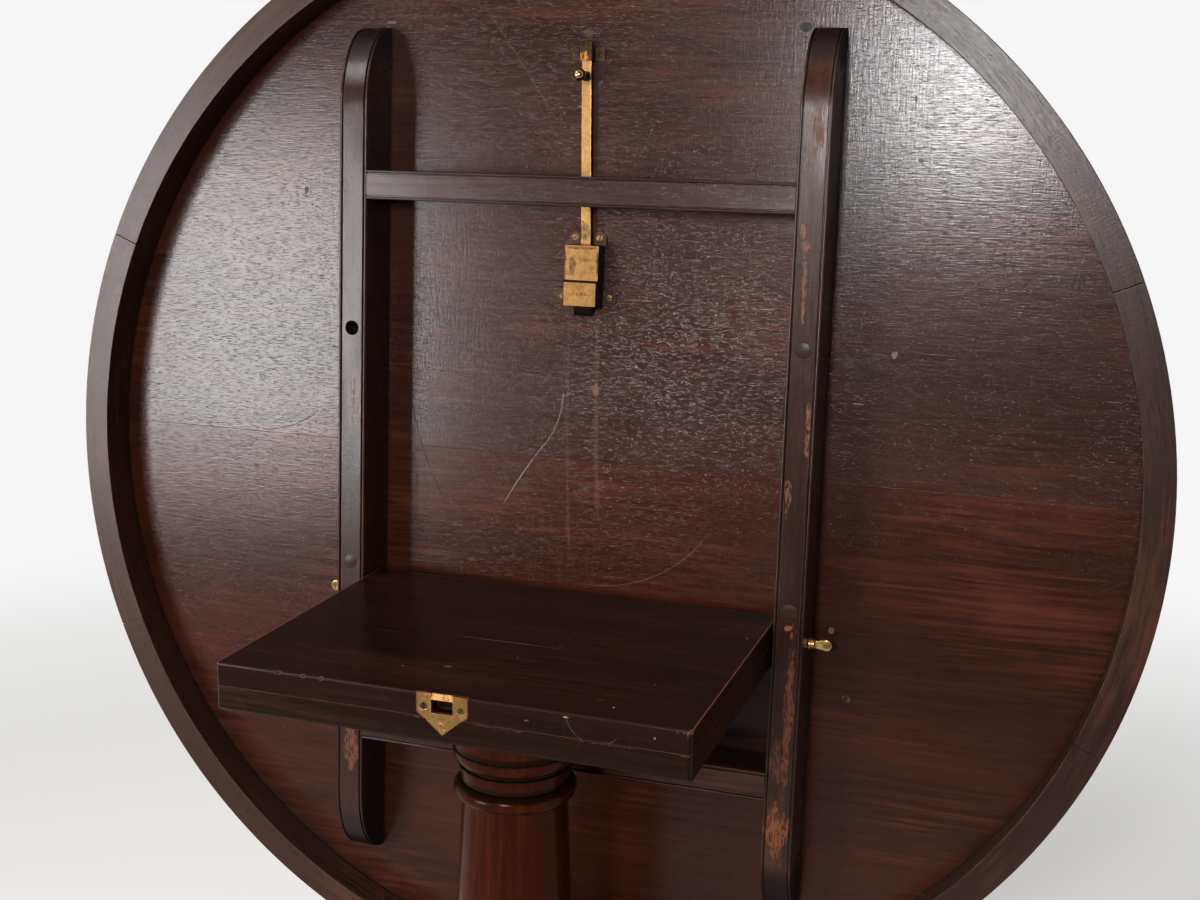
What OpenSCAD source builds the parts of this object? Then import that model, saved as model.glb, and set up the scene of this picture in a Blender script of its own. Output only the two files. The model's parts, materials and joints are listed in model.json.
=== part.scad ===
// Tilt-top breakfast table in mahogany. A round top on two bearers turns on a pair of
// thumb bolts in a block, and a brass spring catch holds it level. The block stands on
// a turned column, a three-lobed platform and three bun feet.
// Millimetres, +Z up, -Y towards whoever faces the underside of the turned-up top.
// The origin is on the floor, below the middle of the table as it stands.
// The top's pieces are drawn lying on their back: X across, Y up the boards from the
// pivot, Z off the underside. on_top() stands them up. The block's pieces are drawn
// from the pivot axis, and on_block() places them.

/* [Table] */
// Height of the table with the top down
table_h = 730; // [700:5:760]
// Angle by which the turned-up top leans back past upright, in degrees
top_lean = 2.5; // [1:0.5:2.5]

/* [Top] */
// Diameter of the top
top_d = 1220; // [1100:10:1300]
// Thickness of the top's boards
board_t = 22; // [18:1:26]
// Distance of the joint between the two boards from the middle of the top
board_joint = 10; // [-60:5:60]
// Radius of the top's show edge
board_edge_r = 3; // [1:0.5:6]
// Distance of the top's middle in front of the column when the top is down
top_offset = 2; // [0:1:10]

/* [Apron] */
// Thickness of the apron, measured along a radius
apron_t = 30; // [20:1:36]
// Depth of the apron below the top
apron_h = 42; // [35:1:50]

/* [Bearers] */
// Width of a bearer
bearer_w = 32.2; // [28:0.1:38]
// Depth of a bearer below the top
bearer_h = 59; // [52:1:66]
// Space between a bearer and the end of the block
bearer_gap = 2.3; // [1:0.1:4]
// Space between the upper ends of the bearers and the apron
bearer_top_space = 48; // [30:1:80]
// Space between the lower end of the left bearer and the apron
bearer_left_space = 42; // [30:1:80]
// Space between the lower end of the right bearer and the apron
bearer_right_space = 54; // [30:1:80]
// Length of the rounded nose at each end of a bearer
nose_l = 86; // [60:1:110]

/* [Beads] */
// Width of the bead along the front edges of bearers and rails
bead_w = 3; // [2:0.2:4]
// Width of the sunk line beside a bead
quirk_w = 1.2; // [0.8:0.1:1.6]
// Depth of the sunk line beside a bead
quirk_d = 1.5; // [1:0.1:2.5]

/* [Rails] */
// Thickness of a cross rail
rail_t = 31; // [24:1:36]
// Distance from the front of the block to the upper rail when the top is down
rail_reach = 105.5; // [95:0.5:120]
// Distance from the pivot to the lower rail
rail_low = 135.5; // [120:0.5:160]
// Length of a rail's tenon in the bearer
rail_tenon_l = 18; // [12:1:24]
// Thickness of a rail's tenon
rail_tenon_t = 16; // [12:1:20]
// Width of a rail's tenon
rail_tenon_w = 40; // [30:1:46]
// Width of the notch for the catch rod in the upper rail
notch_w = 16; // [13:0.5:20]
// Depth of the notch for the catch rod in the upper rail
notch_d = 11; // [9:0.5:14]

/* [Bearer screws] */
// Diameter of the sunk hole above a bearer screw
sunk_d = 16; // [13:0.5:18]
// Depth of the sunk hole above a bearer screw
sunk_h = 34; // [26:1:40]
// Height of the plug that closes a sunk hole
plug_h = 8; // [5:1:14]
// Diameter of a bearer screw's shank
screw_d = 5; // [4:0.2:6]
// Diameter of a bearer screw's head
screw_head_d = 10; // [8:0.2:12]
// Depth of a bearer screw in the board
screw_bite = 14; // [10:1:16]
// Distance from the pivot to the lower screw of each bearer
screw_low = 39; // [30:1:60]
// Distance from the pivot to the upper screw of the left bearer
screw_left = 301; // [280:1:330]
// Distance from the pivot to the upper screw of the right bearer
screw_right = 308; // [280:1:330]

/* [Block] */
// Width of the block
block_w = 462; // [420:1:500]
// Depth of the block from front to back
block_d = 360; // [330:1:380]
// Thickness of the upper board of the block
block_upper_t = 23.2; // [18:0.2:28]
// Thickness of the lower board of the block
block_lower_t = 23.8; // [20:0.2:30]
// Distance of the pivot axis from the top and from the back of the block
pivot_r = 25; // [22:0.5:26]
// Space between the block and the underside of the top
top_gap = 1; // [1:0.1:2]
// Chamfer along the lower edges of the block
block_chamfer = 3.5; // [2:0.5:6]

/* [Thumb bolts] */
// Diameter of a thumb bolt's shank
bolt_d = 9; // [8:0.5:11]
// Length of a thumb bolt inside its threaded insert
bolt_in = 28; // [20:1:30]
// Diameter of the collar on a thumb bolt
bolt_collar_d = 13; // [12:0.5:16]
// Length of the collar on a thumb bolt
bolt_collar_l = 6.8; // [4:0.2:9]
// Length of the flat thumb plate of a bolt
thumb_l = 17.7; // [14:0.5:24]
// Height of the flat thumb plate of a bolt
thumb_h = 12; // [10:0.5:14]
// Thickness of the flat thumb plate of a bolt
thumb_t = 3; // [2:0.2:4]
// Outer diameter of a threaded insert
insert_d = 16; // [14:0.5:20]
// Length of a threaded insert
insert_l = 30; // [30:1:40]

/* [Catch case] */
// Width of the catch case
case_w = 38; // [34:0.5:44]
// Length of the catch case
case_l = 64; // [60:1:72]
// Height of the catch case at its mouth
case_h = 24; // [23:0.5:28]
// Height of the catch case behind its mouth
case_low_h = 20; // [20:0.5:22]
// Length of the taller part of the catch case
case_step = 25; // [18:0.5:30]
// Wall of the catch case
case_wall = 2; // [1.6:0.1:2]
// Space between the catch case and the front of the block
case_gap = 1; // [0.5:0.1:2]
// Thickness of the lugs of the catch case
lug_t = 2; // [1.5:0.1:3]
// Diameter of the lugs at the mouth of the catch case
side_lug_d = 16.5; // [14:0.5:17]
// Diameter of the lugs behind the catch case
rear_lug_d = 14; // [11:0.5:15]

/* [Catch bolt and rod] */
// Distance that the tongue reaches into the block
tongue_reach = 10; // [7:0.5:10.5]
// Width of the tongue
tongue_w = 20; // [16:0.5:22]
// Thickness of the tongue
tongue_t = 6; // [5:0.2:7]
// Height of the tongue above the underside of the top
tongue_rise = 8; // [8:0.2:9]
// Length of the body of the catch bolt
bolt_body_l = 22; // [18:0.5:24]
// Height of the body of the catch bolt
bolt_body_h = 17.5; // [17:0.1:17.9]
// Width of the flat rod
rod_w = 10.6; // [8:0.2:12]
// Thickness of the flat rod
rod_t = 3; // [2.4:0.1:3.4]
// Height of the rod above the underside of the top
rod_rise = 4.5; // [4.1:0.1:4.8]
// Distance from the front of the block to the far end of the rod
rod_reach = 277; // [268:1:290]
// Angle by which the rod leans to the left of the case, in degrees
rod_lean = 1.6; // [0:0.1:1.8]
// Distance from the front of the block to the knob
knob_reach = 240; // [180:1:240]
// Diameter of the knob's ball
knob_d = 13.4; // [11:0.2:16]
// Height of the middle of the knob's ball above the underside
knob_rise = 30; // [26:0.5:36]
// Diameter of the knob's neck
knob_neck_d = 7.4; // [4.5:0.1:8.4]
// Diameter of the spring in the catch case
spring_d = 8.4; // [7.6:0.1:8.6]
// Diameter of the spring's wire
spring_wire = 1.1; // [0.8:0.1:1.3]
// Number of turns of the spring
spring_turns = 8; // [6:1:10]

/* [Rod guide] */
// Distance from the front of the block to the middle of the rod guide
guide_reach = 263; // [258:1:263]
// Length of the rod guide along the rod
guide_l = 14; // [10:1:16]
// Width of the rod guide over its feet
guide_w = 36.6; // [34:0.2:42]
// Height inside the rod guide
guide_h = 8.3; // [8:0.1:10]
// Thickness of the rod guide's metal
guide_t = 1.8; // [1.2:0.1:2.4]

/* [Strike plate] */
// Width of the strike plate
strike_w = 48; // [44:1:56]
// Length of the straight sides of the strike plate
strike_side = 18; // [16:0.5:20]
// Full length of the strike plate down to its point
strike_l = 38.4; // [32:0.2:42]
// Thickness of the strike plate
strike_t = 2.5; // [2:0.1:3.5]
// Depth of the pocket behind the strike plate
pocket_d = 14; // [12:0.5:20]

/* [Column] */
// Radius of the plate at the head of the column
head_r = 80; // [74:1:90]
// Radius of the lower edge of the capital
capital_r = 64; // [62:0.5:70]
// Radius of the neck below the capital
neck_r = 56; // [54:0.5:58]
// Radius of the ring below the neck
ring_r = 63; // [60:0.5:68]
// Height of the ring below the neck
ring_h = 18; // [14:1:22]
// Radius of the shaft below the ring
shaft_top_r = 54.4; // [50:0.2:56]
// Radius of the shaft at its foot
shaft_foot_r = 70; // [60:1:74]
// Width of the tenon that shows in the top of the block
tenon_w = 108; // [90:1:112]
// Thickness of the tenon that shows in the top of the block
tenon_t = 49; // [40:1:52]
// Radius of the round tenon at the foot of the column
spigot_r = 25; // [20:1:30]

/* [Base] */
// Height of the turned collar round the foot of the column
collar_h = 41; // [34:1:50]
// Largest radius of the turned collar
collar_r = 105; // [96:1:112]
// Thickness of the platform
platform_t = 34; // [28:1:40]
// Distance from the column axis to the middle of each foot
foot_reach = 300; // [260:1:320]
// Radius of a lobe of the platform
lobe_r = 62; // [58:1:70]
// Distance from the column axis to the hollow sides of the platform
waist_r = 120; // [118:1:140]
// Height of the step round the top of the platform
platform_step = 5; // [3:0.5:8]
// Height of a foot
foot_h = 75; // [60:1:85]
// Largest radius of a foot
foot_r = 55; // [48:1:58]
// Radius of the flat sole of a foot
sole_r = 32; // [26:1:38]
// Radius of the dowel that holds a foot
dowel_r = 12.5; // [8:0.5:16]

/* [Clearances] */
// Clearance on each side in a glued or driven joint
glue_fit = 0.1; // [0.05:0.05:0.2]
// Clearance on each side in a running fit
run_fit = 0.06; // [0.03:0.01:0.1]
// Clearance on each side round the tongue and the rod in their slots
slot_fit = 0.5; // [0.3:0.1:0.6]

/* [Hidden] */
$fn = 96;
eps = 0.01;

// Heights and distances that follow from the sizes
underside_h = pivot_r + top_gap;
pivot_z = table_h - board_t - underside_h;
block_t = block_upper_t + block_lower_t;
block_bottom = pivot_r - block_t;
block_front = pivot_r - block_d;
column_back = block_d / 2 - pivot_r;
front_foot_y = foot_reach * cos(60);
column_y = (front_foot_y - foot_reach) / 2;
pivot_y = column_y + column_back;
top_r = top_d / 2;
top_v = column_back + top_offset;
joint_v = top_v + board_joint;
apron_in_r = top_r - apron_t;
apron_parts = 8;

// Bearers and rails
bearer_in = block_w / 2 + bearer_gap;
bearer_out = bearer_in + bearer_w;
bearer_mid = (bearer_in + bearer_out) / 2;
apron_half = sqrt(pow(apron_in_r, 2) - pow(bearer_out, 2));
bearer_up = top_v + apron_half - bearer_top_space;
bearer_down_left = top_v - apron_half + bearer_left_space;
bearer_down_right = top_v - apron_half + bearer_right_space;
bead_soft = 0.7;
bead_edge = 0.5;
nose_steps = 16;
rail_up_v = rail_reach - block_front;
rail_low_v = -rail_low - rail_t;
mortise_extra = 0.5;
screw_slot_w = 1.2;
screw_slot_d = 1.2;
screw_head_t = 3;

// Catch
catch_v = case_gap - block_front;
small_screw_d = 3;
small_head_d = 7.8;
small_head_t = 1.5;
small_bite = 14;
guide_screw_d = 2.6;
guide_head_d = 5.4;
guide_bite = 10;
rear_lug_x = 14;
rear_lug_v = catch_v + case_l + 8;
side_lug_x = case_w / 2 + 7.2;
side_lug_v = catch_v + side_lug_d / 2 + 0.3;
case_edge = 2;
rod_turn_v = catch_v + case_l;
bolt_v = catch_v + case_wall + run_fit;
bolt_body_w = case_w - 2 * case_wall - 2 * run_fit;
spring_v = bolt_v + bolt_body_l;
spring_end_v = catch_v + case_l - case_wall;
spring_z = bolt_body_h - spring_d / 2;
spring_pin_d = 4.6;
spring_pin_l = 5;
rod_v = bolt_v + 7;
rod_end_v = rod_reach - block_front;
rivet_d = 4;
rivet_v = rod_v + 5;
knob_v = knob_reach - block_front;
knob_collar_d = 9.8;
knob_collar_h = 3;
knob_stem_d = 4;
guide_v = guide_reach - block_front - guide_l / 2;
guide_in = rod_w / 2 + 0.9;
guide_out = guide_in + guide_t;
guide_screw_x = (guide_out + guide_w / 2) / 2;

// Strike plate, measured from the pivot axis
tongue_low = underside_h - tongue_rise - tongue_t;
strike_slot_w = tongue_w + 0.8;
strike_slot_low = tongue_low - 5;
strike_slot_h = tongue_t + 6.4;
strike_ramp = 2;
strike_screw_x = 18 * strike_w / 48;
strike_screw_z = tongue_low + 0.6;
strike_point_z = pivot_r - strike_l;
strike_tip_screw_z = strike_point_z + 8.4;

// Column, measured down from the underside of the block
column_top = pivot_z + block_bottom;
collar_top = foot_h + platform_t + collar_h;
shaft_l = column_top - collar_top;
head_h = 18;
cavetto_end = 62;
groove_w = 2;
groove_d = 1.5;
ovolo_start = cavetto_end + 9;
ovolo_end = ovolo_start + 12;
neck_step = ovolo_end + 3;
neck_start = neck_step + 4;
ring_start = neck_start + 13;
ring_end = ring_start + ring_h;
shaft_start = ring_end + 14;
flare_h = 16;
flare_r = 5;

// Platform outline: each hollow side is an arc that touches two lobes
lobe_over = lobe_r - waist_r;
side_dist = (pow(foot_reach, 2) - pow(lobe_over, 2)) / (foot_reach + 2 * lobe_over);
side_r = side_dist - waist_r;
foot_turns = [90, 210, 330];
dowel_l = 22;

wood = "#5a2818";
wood_dark = "#33180f";
wood_column = "#7a3518";
wood_inner = "#8a5a34";
brass = "#b08d45";
brass_bright = "#c9a355";
steel = "#4a4640";

// Points of an elliptical arc from angle a0 to a1 in n steps
function arc(cx, cy, rx, ry, a0, a1, n = 12) =
    [for (i = [0 : n]) let (a = a0 + (a1 - a0) * i / n) [cx + rx * cos(a), cy + ry * sin(a)]];

// Stands the top's pieces up on the pivot
module on_top() {
    translate([0, pivot_y, pivot_z])
        rotate([90 - top_lean, 0, 0])
            translate([0, 0, -underside_h])
                children();
}

// Places what is drawn from the pivot axis
module on_block() {
    translate([0, pivot_y, pivot_z])
        children();
}

// Extrudes a (Y, Z) outline along X
module along_x(x0, x1) {
    translate([x0, 0, 0])
        rotate([90, 0, 90])
            linear_extrude(x1 - x0)
                children();
}

// Extrudes an (X, Z) outline along Y
module along_y(y0, y1) {
    translate([0, y1, 0])
        rotate([90, 0, 0])
            linear_extrude(y1 - y0)
                children();
}

// Slotted screw with its head above Z = 0
module slotted_screw(head_d, head_t, shank_d, shank_l) {
    difference() {
        union() {
            cylinder(h = head_t, d1 = head_d, d2 = head_d * 0.86);
            translate([0, 0, -shank_l])
                cylinder(h = shank_l + eps, d = shank_d);
        }
        translate([-head_d, -screw_slot_w / 2, head_t - screw_slot_d * head_t / 3])
            cube([2 * head_d, screw_slot_w, head_t]);
    }
}

// Positions of the bearer screws: [x, v, plugged]
bearer_screw_spots = [
    [-bearer_mid, screw_left, false],
    [-bearer_mid, screw_low, true],
    [bearer_mid, screw_right, true],
    [bearer_mid, screw_low, true]
];
screw_seat = bearer_h - sunk_h;

// Positions of the catch case's screws: [x, v]
catch_screw_spots = [
    [-rear_lug_x, rear_lug_v],
    [rear_lug_x, rear_lug_v],
    [-side_lug_x, side_lug_v],
    [side_lug_x, side_lug_v]
];

// Positions of the guide's screws, measured in the direction of the rod: [x, v]
guide_screw_spots = [for (s = [-1, 1]) [s * guide_screw_x, guide_v + guide_l / 2]];

// Turns pieces that follow the rod about the back of the catch case
module along_rod() {
    translate([0, rod_turn_v, 0])
        rotate([0, 0, rod_lean])
            translate([0, -rod_turn_v, 0])
                children();
}

// Screw holes in the underside of the boards
module board_holes() {
    for (p = bearer_screw_spots)
        translate([p[0], p[1], -screw_bite - glue_fit])
            cylinder(h = screw_bite + 1, d = screw_d + 2 * glue_fit);
    for (p = catch_screw_spots)
        translate([p[0], p[1], -small_bite - glue_fit])
            cylinder(h = small_bite + 1, d = small_screw_d + 2 * glue_fit);
    along_rod()
        for (p = guide_screw_spots)
            translate([p[0], p[1], -guide_bite - glue_fit])
                cylinder(h = guide_bite + 1, d = guide_screw_d + 2 * glue_fit);
}

// The whole round top, with a rounded edge on its show side
module top_disc() {
    translate([0, top_v, 0])
        rotate_extrude()
            polygon(concat(
                [[0, 0], [0, -board_t]],
                arc(top_r - board_edge_r, board_edge_r - board_t, board_edge_r, board_edge_r, -90, 0, 6),
                [[top_r, 0]]));
}

// One board of the top, between two heights
module top_board(v0, v1) {
    color(wood)
        on_top()
            difference() {
                intersection() {
                    top_disc();
                    translate([-top_r - 1, v0, -board_t - 1])
                        cube([top_d + 2, v1 - v0, board_t + 2]);
                }
                board_holes();
            }
}

module top_board_upper() {
    top_board(joint_v, top_v + top_r + 1);
}

module top_board_lower() {
    top_board(top_v - top_r - 1, joint_v);
}

// One curved length of the apron
module apron(i) {
    part_angle = 360 / apron_parts;
    color(wood)
        on_top()
            translate([0, top_v, 0])
                rotate([0, 0, (i - 0.5) * part_angle])
                    rotate_extrude(angle = part_angle)
                        translate([apron_in_r, 0])
                            square([apron_t, apron_h]);
}

// Side outline of a bearer from v0 to v1, drawn in by d along its front and noses
function bearer_outline(v0, v1, d) = concat(
    arc(v1 - nose_l, 0, nose_l - d, bearer_h - d, 0, 90, nose_steps),
    arc(v0 + nose_l, 0, nose_l - d, bearer_h - d, 90, 180, nose_steps));

// Slices across a bearer: widths from its outer face, and how far each is drawn in
slice_w = [
    bead_edge, bead_w - 2 * bead_edge, bead_edge, quirk_w,
    bearer_w - 2 * bead_w - 2 * quirk_w,
    quirk_w, bead_edge, bead_w - 2 * bead_edge, bead_edge
];
slice_in = [bead_soft, 0, bead_soft, quirk_d, 0, quirk_d, bead_soft, 0, bead_soft];
function slice_at(i) = i == 0 ? 0 : slice_at(i - 1) + slice_w[i - 1];

// A bearer on one side: -1 is left, 1 is right
module bearer(side, v0) {
    color(wood_dark)
        on_top()
            difference() {
                for (i = [0 : len(slice_w) - 1])
                    along_x(
                        (side > 0 ? bearer_in : -bearer_out) + slice_at(i),
                        (side > 0 ? bearer_in : -bearer_out) + slice_at(i) + slice_w[i])
                        polygon(bearer_outline(v0, bearer_up, slice_in[i]));
                translate([side * (bearer_in - 1), 0, underside_h])
                    rotate([0, side * 90, 0])
                        cylinder(h = bearer_w + 2, d = bolt_d + 2 * run_fit);
                for (p = bearer_screw_spots)
                    if (p[0] * side > 0)
                        translate([p[0], p[1], 0]) {
                            translate([0, 0, -1])
                                cylinder(h = bearer_h, d = screw_d + 2 * glue_fit);
                            translate([0, 0, screw_seat])
                                cylinder(h = sunk_h + 1, d = sunk_d);
                        }
                for (v = [rail_up_v, rail_low_v])
                    rail_tenons(v, glue_fit, mortise_extra);
            }
}

module bearer_left() {
    bearer(-1, bearer_down_left);
}

module bearer_right() {
    bearer(1, bearer_down_right);
}

// The bar whose ends are the tenons of a rail, larger by a clearance for the mortises
module rail_tenons(v, fit, extra) {
    reach = bearer_in + rail_tenon_l + extra;
    translate([-reach, v + (rail_t - rail_tenon_t) / 2 - fit, (bearer_h - rail_tenon_w) / 2 - fit])
        cube([2 * reach, rail_tenon_t + 2 * fit, rail_tenon_w + 2 * fit]);
}

// Section of a rail with a bead and a sunk line along both front edges
bead_r = bead_w / 2;
rail_section = concat(
    [[0, 0], [rail_t, 0]],
    arc(rail_t - bead_r, bearer_h - bead_r, bead_r, bead_r, 0, 180, 8),
    [[rail_t - bead_w, bearer_h - quirk_d - bead_soft], [rail_t - bead_w - quirk_w, bearer_h - quirk_d - bead_soft]],
    [[rail_t - bead_w - quirk_w, bearer_h], [bead_w + quirk_w, bearer_h]],
    [[bead_w + quirk_w, bearer_h - quirk_d - bead_soft], [bead_w, bearer_h - quirk_d - bead_soft]],
    arc(bead_r, bearer_h - bead_r, bead_r, bead_r, 0, 180, 8));

// A cross rail with its lower face at v
module rail(v) {
    translate([0, v, 0])
        along_x(-bearer_in, bearer_in)
            polygon(rail_section);
    rail_tenons(v, 0, 0);
}

module rail_upper() {
    color(wood_dark)
        on_top()
            difference() {
                rail(rail_up_v);
                along_rod()
                    translate([-notch_w / 2, rail_up_v - 2, -1])
                        cube([notch_w, rail_t + 4, notch_d + 1]);
            }
}

module rail_lower() {
    color(wood_dark)
        on_top()
            rail(rail_low_v);
}

module bearer_screws() {
    color(steel)
        on_top()
            for (p = bearer_screw_spots)
                translate([p[0], p[1], screw_seat])
                    slotted_screw(screw_head_d, screw_head_t, screw_d, screw_seat + screw_bite);
}

module bearer_plugs() {
    color(wood_inner)
        on_top()
            for (p = bearer_screw_spots)
                if (p[2])
                    translate([p[0], p[1], bearer_h - plug_h])
                        cylinder(h = plug_h, d = sunk_d - 2 * glue_fit);
}

// Side outline of the catch case, drawn in by a wall
function case_side(w) = [
    [w, -1 + (w > 0 ? 0 : 1)], [w, case_h - w], [case_step - w, case_h - w],
    [case_step + (case_h - case_low_h) / 2 - w, case_low_h - w],
    [case_l - w, case_low_h - w], [case_l - w, -1 + (w > 0 ? 0 : 1)]
];

// Brass case with a taller mouth, lugs for its screws, and slots for tongue and rod
module catch_case() {
    color(brass)
        on_top()
            difference() {
                union() {
                    intersection() {
                        translate([0, catch_v, 0])
                            along_x(-case_w / 2, case_w / 2)
                                polygon(case_side(0));
                        along_y(catch_v - 1, catch_v + case_l + 1)
                            polygon(concat(
                                [[-case_w / 2, 0], [case_w / 2, 0]],
                                arc(case_w / 2 - case_edge, case_h - case_edge, case_edge, case_edge, 0, 90, 6),
                                arc(case_edge - case_w / 2, case_h - case_edge, case_edge, case_edge, 90, 180, 6)));
                    }
                    for (s = [-1, 1]) {
                        translate([s * rear_lug_x, rear_lug_v, 0])
                            cylinder(h = lug_t, d = rear_lug_d);
                        translate([s * rear_lug_x - rear_lug_d / 2, catch_v + case_l - case_wall, 0])
                            cube([rear_lug_d, rear_lug_v - catch_v - case_l + case_wall, lug_t]);
                        translate([s * side_lug_x, side_lug_v, 0])
                            cylinder(h = lug_t, d = side_lug_d);
                        translate([s * (case_w + 2 * side_lug_x - 2 * case_wall) / 4, side_lug_v, lug_t / 2])
                            cube([side_lug_x - case_w / 2 + case_wall, side_lug_d, lug_t], center = true);
                    }
                }
                translate([0, catch_v, 0])
                    along_x(case_wall - case_w / 2, case_w / 2 - case_wall)
                        polygon(case_side(case_wall));
                translate([-tongue_w / 2 - slot_fit, catch_v - 1, tongue_rise - slot_fit])
                    cube([tongue_w + 2 * slot_fit, case_wall + 2, tongue_t + 2 * slot_fit]);
                along_rod()
                    translate([-rod_w / 2 - slot_fit, rod_turn_v - case_wall - 1, rod_rise - slot_fit])
                        cube([rod_w + 2 * slot_fit, case_wall + 2, rod_t + 2 * slot_fit]);
                for (p = catch_screw_spots)
                    translate([p[0], p[1], -1])
                        cylinder(h = lug_t + 2, d = small_screw_d + 2 * glue_fit);
            }
}

module catch_screws() {
    color(steel)
        on_top()
            for (p = catch_screw_spots)
                translate([p[0], p[1], lug_t])
                    slotted_screw(small_head_d, small_head_t, small_screw_d, lug_t + small_bite);
}

// Rings of points that sweep a wire round a helix
spring_sides = 6;
spring_ring_steps = 8;
spring_rings = spring_turns * spring_ring_steps + 1;
spring_coil_r = (spring_d - spring_wire) / 2;
spring_run = spring_end_v - spring_v - spring_wire - 2 * run_fit;
function spring_point(i, j) =
    let (
        turn = 360 * i / spring_ring_steps,
        side = 360 * j / spring_sides,
        r = spring_coil_r + spring_wire / 2 * cos(side)
    )
    [r * cos(turn), r * sin(turn), spring_run * i / (spring_rings - 1) + spring_wire / 2 * sin(side)];

// Coil spring between the catch bolt and the end wall of the case
module catch_spring() {
    color(steel)
        on_top()
            translate([0, spring_v + run_fit + spring_wire / 2, spring_z])
                rotate([-90, 0, 0])
                    polyhedron(
                        points = [
                            for (i = [0 : spring_rings - 1])
                                for (j = [0 : spring_sides - 1])
                                    spring_point(i, j)
                        ],
                        faces = concat(
                            [[for (j = [0 : spring_sides - 1]) j]],
                            [
                                for (i = [0 : spring_rings - 2])
                                    for (j = [0 : spring_sides - 1])
                                        let (
                                            a = i * spring_sides + j,
                                            b = i * spring_sides + (j + 1) % spring_sides
                                        )
                                        for (f = [[a, a + spring_sides, b], [b, a + spring_sides, b + spring_sides]])
                                            f
                            ],
                            [[for (j = [spring_sides - 1 : -1 : 0]) (spring_rings - 1) * spring_sides + j]]));
}

// Sliding bolt: a body in the case, a bevelled tongue, and a pin inside the spring
module catch_bolt() {
    color(brass_bright)
        on_top()
            difference() {
                union() {
                    translate([-bolt_body_w / 2, bolt_v, run_fit])
                        cube([bolt_body_w, bolt_body_l, bolt_body_h - run_fit]);
                    translate([0, -block_front - tongue_reach, 0])
                        along_x(-tongue_w / 2, tongue_w / 2)
                            polygon([
                                [0, tongue_rise], [0, tongue_rise + 1],
                                [tongue_reach, tongue_rise + tongue_t],
                                [tongue_reach + case_gap + 2 * case_wall, tongue_rise + tongue_t],
                                [tongue_reach + case_gap + 2 * case_wall, tongue_rise]
                            ]);
                    translate([0, spring_v - 1, spring_z])
                        rotate([-90, 0, 0])
                            cylinder(h = spring_pin_l + 1, d = spring_pin_d);
                }
                along_rod() {
                    translate([-rod_w / 2 - glue_fit, rod_v - glue_fit, rod_rise - glue_fit])
                        cube([rod_w + 2 * glue_fit, bolt_body_l, rod_t + 2 * glue_fit]);
                    translate([0, rivet_v, rod_rise])
                        cylinder(h = bolt_body_h, d = rivet_d + 2 * glue_fit);
                }
            }
}

// Flat rod with the rivet that holds it in the bolt
module catch_rod() {
    color(brass)
        on_top()
            along_rod()
                difference() {
                    union() {
                        translate([-rod_w / 2, rod_v, rod_rise])
                            cube([rod_w, rod_end_v - rod_v, rod_t]);
                        translate([0, rivet_v, rod_rise])
                            cylinder(h = bolt_body_h - rod_rise, d = rivet_d);
                    }
                    translate([0, knob_v, rod_rise - 1])
                        cylinder(h = rod_t + 2, d = knob_stem_d + 2 * glue_fit);
                }
}

// Turned knob, riveted through the rod
module catch_knob() {
    rod_face = rod_rise + rod_t;
    neck_foot = rod_face + knob_collar_h;
    ball_foot = knob_rise - sqrt(pow(knob_d / 2, 2) - pow(knob_neck_d / 2, 2));
    color(brass_bright)
        on_top()
            along_rod()
                translate([0, knob_v, 0])
                    rotate_extrude()
                        polygon(concat(
                            [[0, rod_rise], [knob_stem_d / 2, rod_rise], [knob_stem_d / 2, rod_face]],
                            [[knob_collar_d / 2, rod_face], [knob_collar_d / 2, neck_foot - 0.6]],
                            [[knob_collar_d / 2 - 0.6, neck_foot], [knob_neck_d / 2 + 0.3, neck_foot]],
                            [[knob_neck_d / 2, neck_foot + 1.5], [knob_neck_d / 2, ball_foot]],
                            arc(0, knob_rise, knob_d / 2, knob_d / 2, -acos(knob_neck_d / knob_d) + 6, 90, 16)));
}

// Bent strap that keeps the far end of the rod close to the underside
module catch_guide() {
    soft = 1.6;
    soft_in = 0.8;
    color(brass)
        on_top()
            along_rod()
                difference() {
                    along_y(guide_v, guide_v + guide_l)
                        polygon([
                            [-guide_w / 2, 0], [-guide_in, 0], [-guide_in, guide_h - soft_in],
                            [soft_in - guide_in, guide_h], [guide_in - soft_in, guide_h],
                            [guide_in, guide_h - soft_in], [guide_in, 0], [guide_w / 2, 0],
                            [guide_w / 2, guide_t], [guide_out, guide_t], [guide_out, guide_h + guide_t - soft],
                            [guide_out - soft, guide_h + guide_t], [soft - guide_out, guide_h + guide_t],
                            [-guide_out, guide_h + guide_t - soft], [-guide_out, guide_t],
                            [-guide_w / 2, guide_t]
                        ]);
                    for (p = guide_screw_spots)
                        translate([p[0], p[1], -1])
                            cylinder(h = guide_t + 2, d = guide_screw_d + 2 * glue_fit);
                }
}

module guide_screws() {
    color(steel)
        on_top()
            along_rod()
                for (p = guide_screw_spots)
                    translate([p[0], p[1], guide_t])
                        slotted_screw(guide_head_d, small_head_t, guide_screw_d, guide_t + guide_bite);
}

// Outline of the strike plate in (X, Z), larger by a clearance
module strike_outline(fit) {
    polygon([
        [-strike_w / 2 - fit, pivot_r],
        [-strike_w / 2 - fit, pivot_r - strike_side - fit],
        [0, strike_point_z - 1.5 * fit],
        [strike_w / 2 + fit, pivot_r - strike_side - fit],
        [strike_w / 2 + fit, pivot_r]
    ]);
}

// Positions of the strike plate's screws: [x, z]
strike_screw_spots = [
    [-strike_screw_x, strike_screw_z],
    [strike_screw_x, strike_screw_z],
    [0, strike_tip_screw_z]
];
strike_head_d = 7.4;
strike_head_t = 2.1;
strike_bite = 18;

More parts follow.
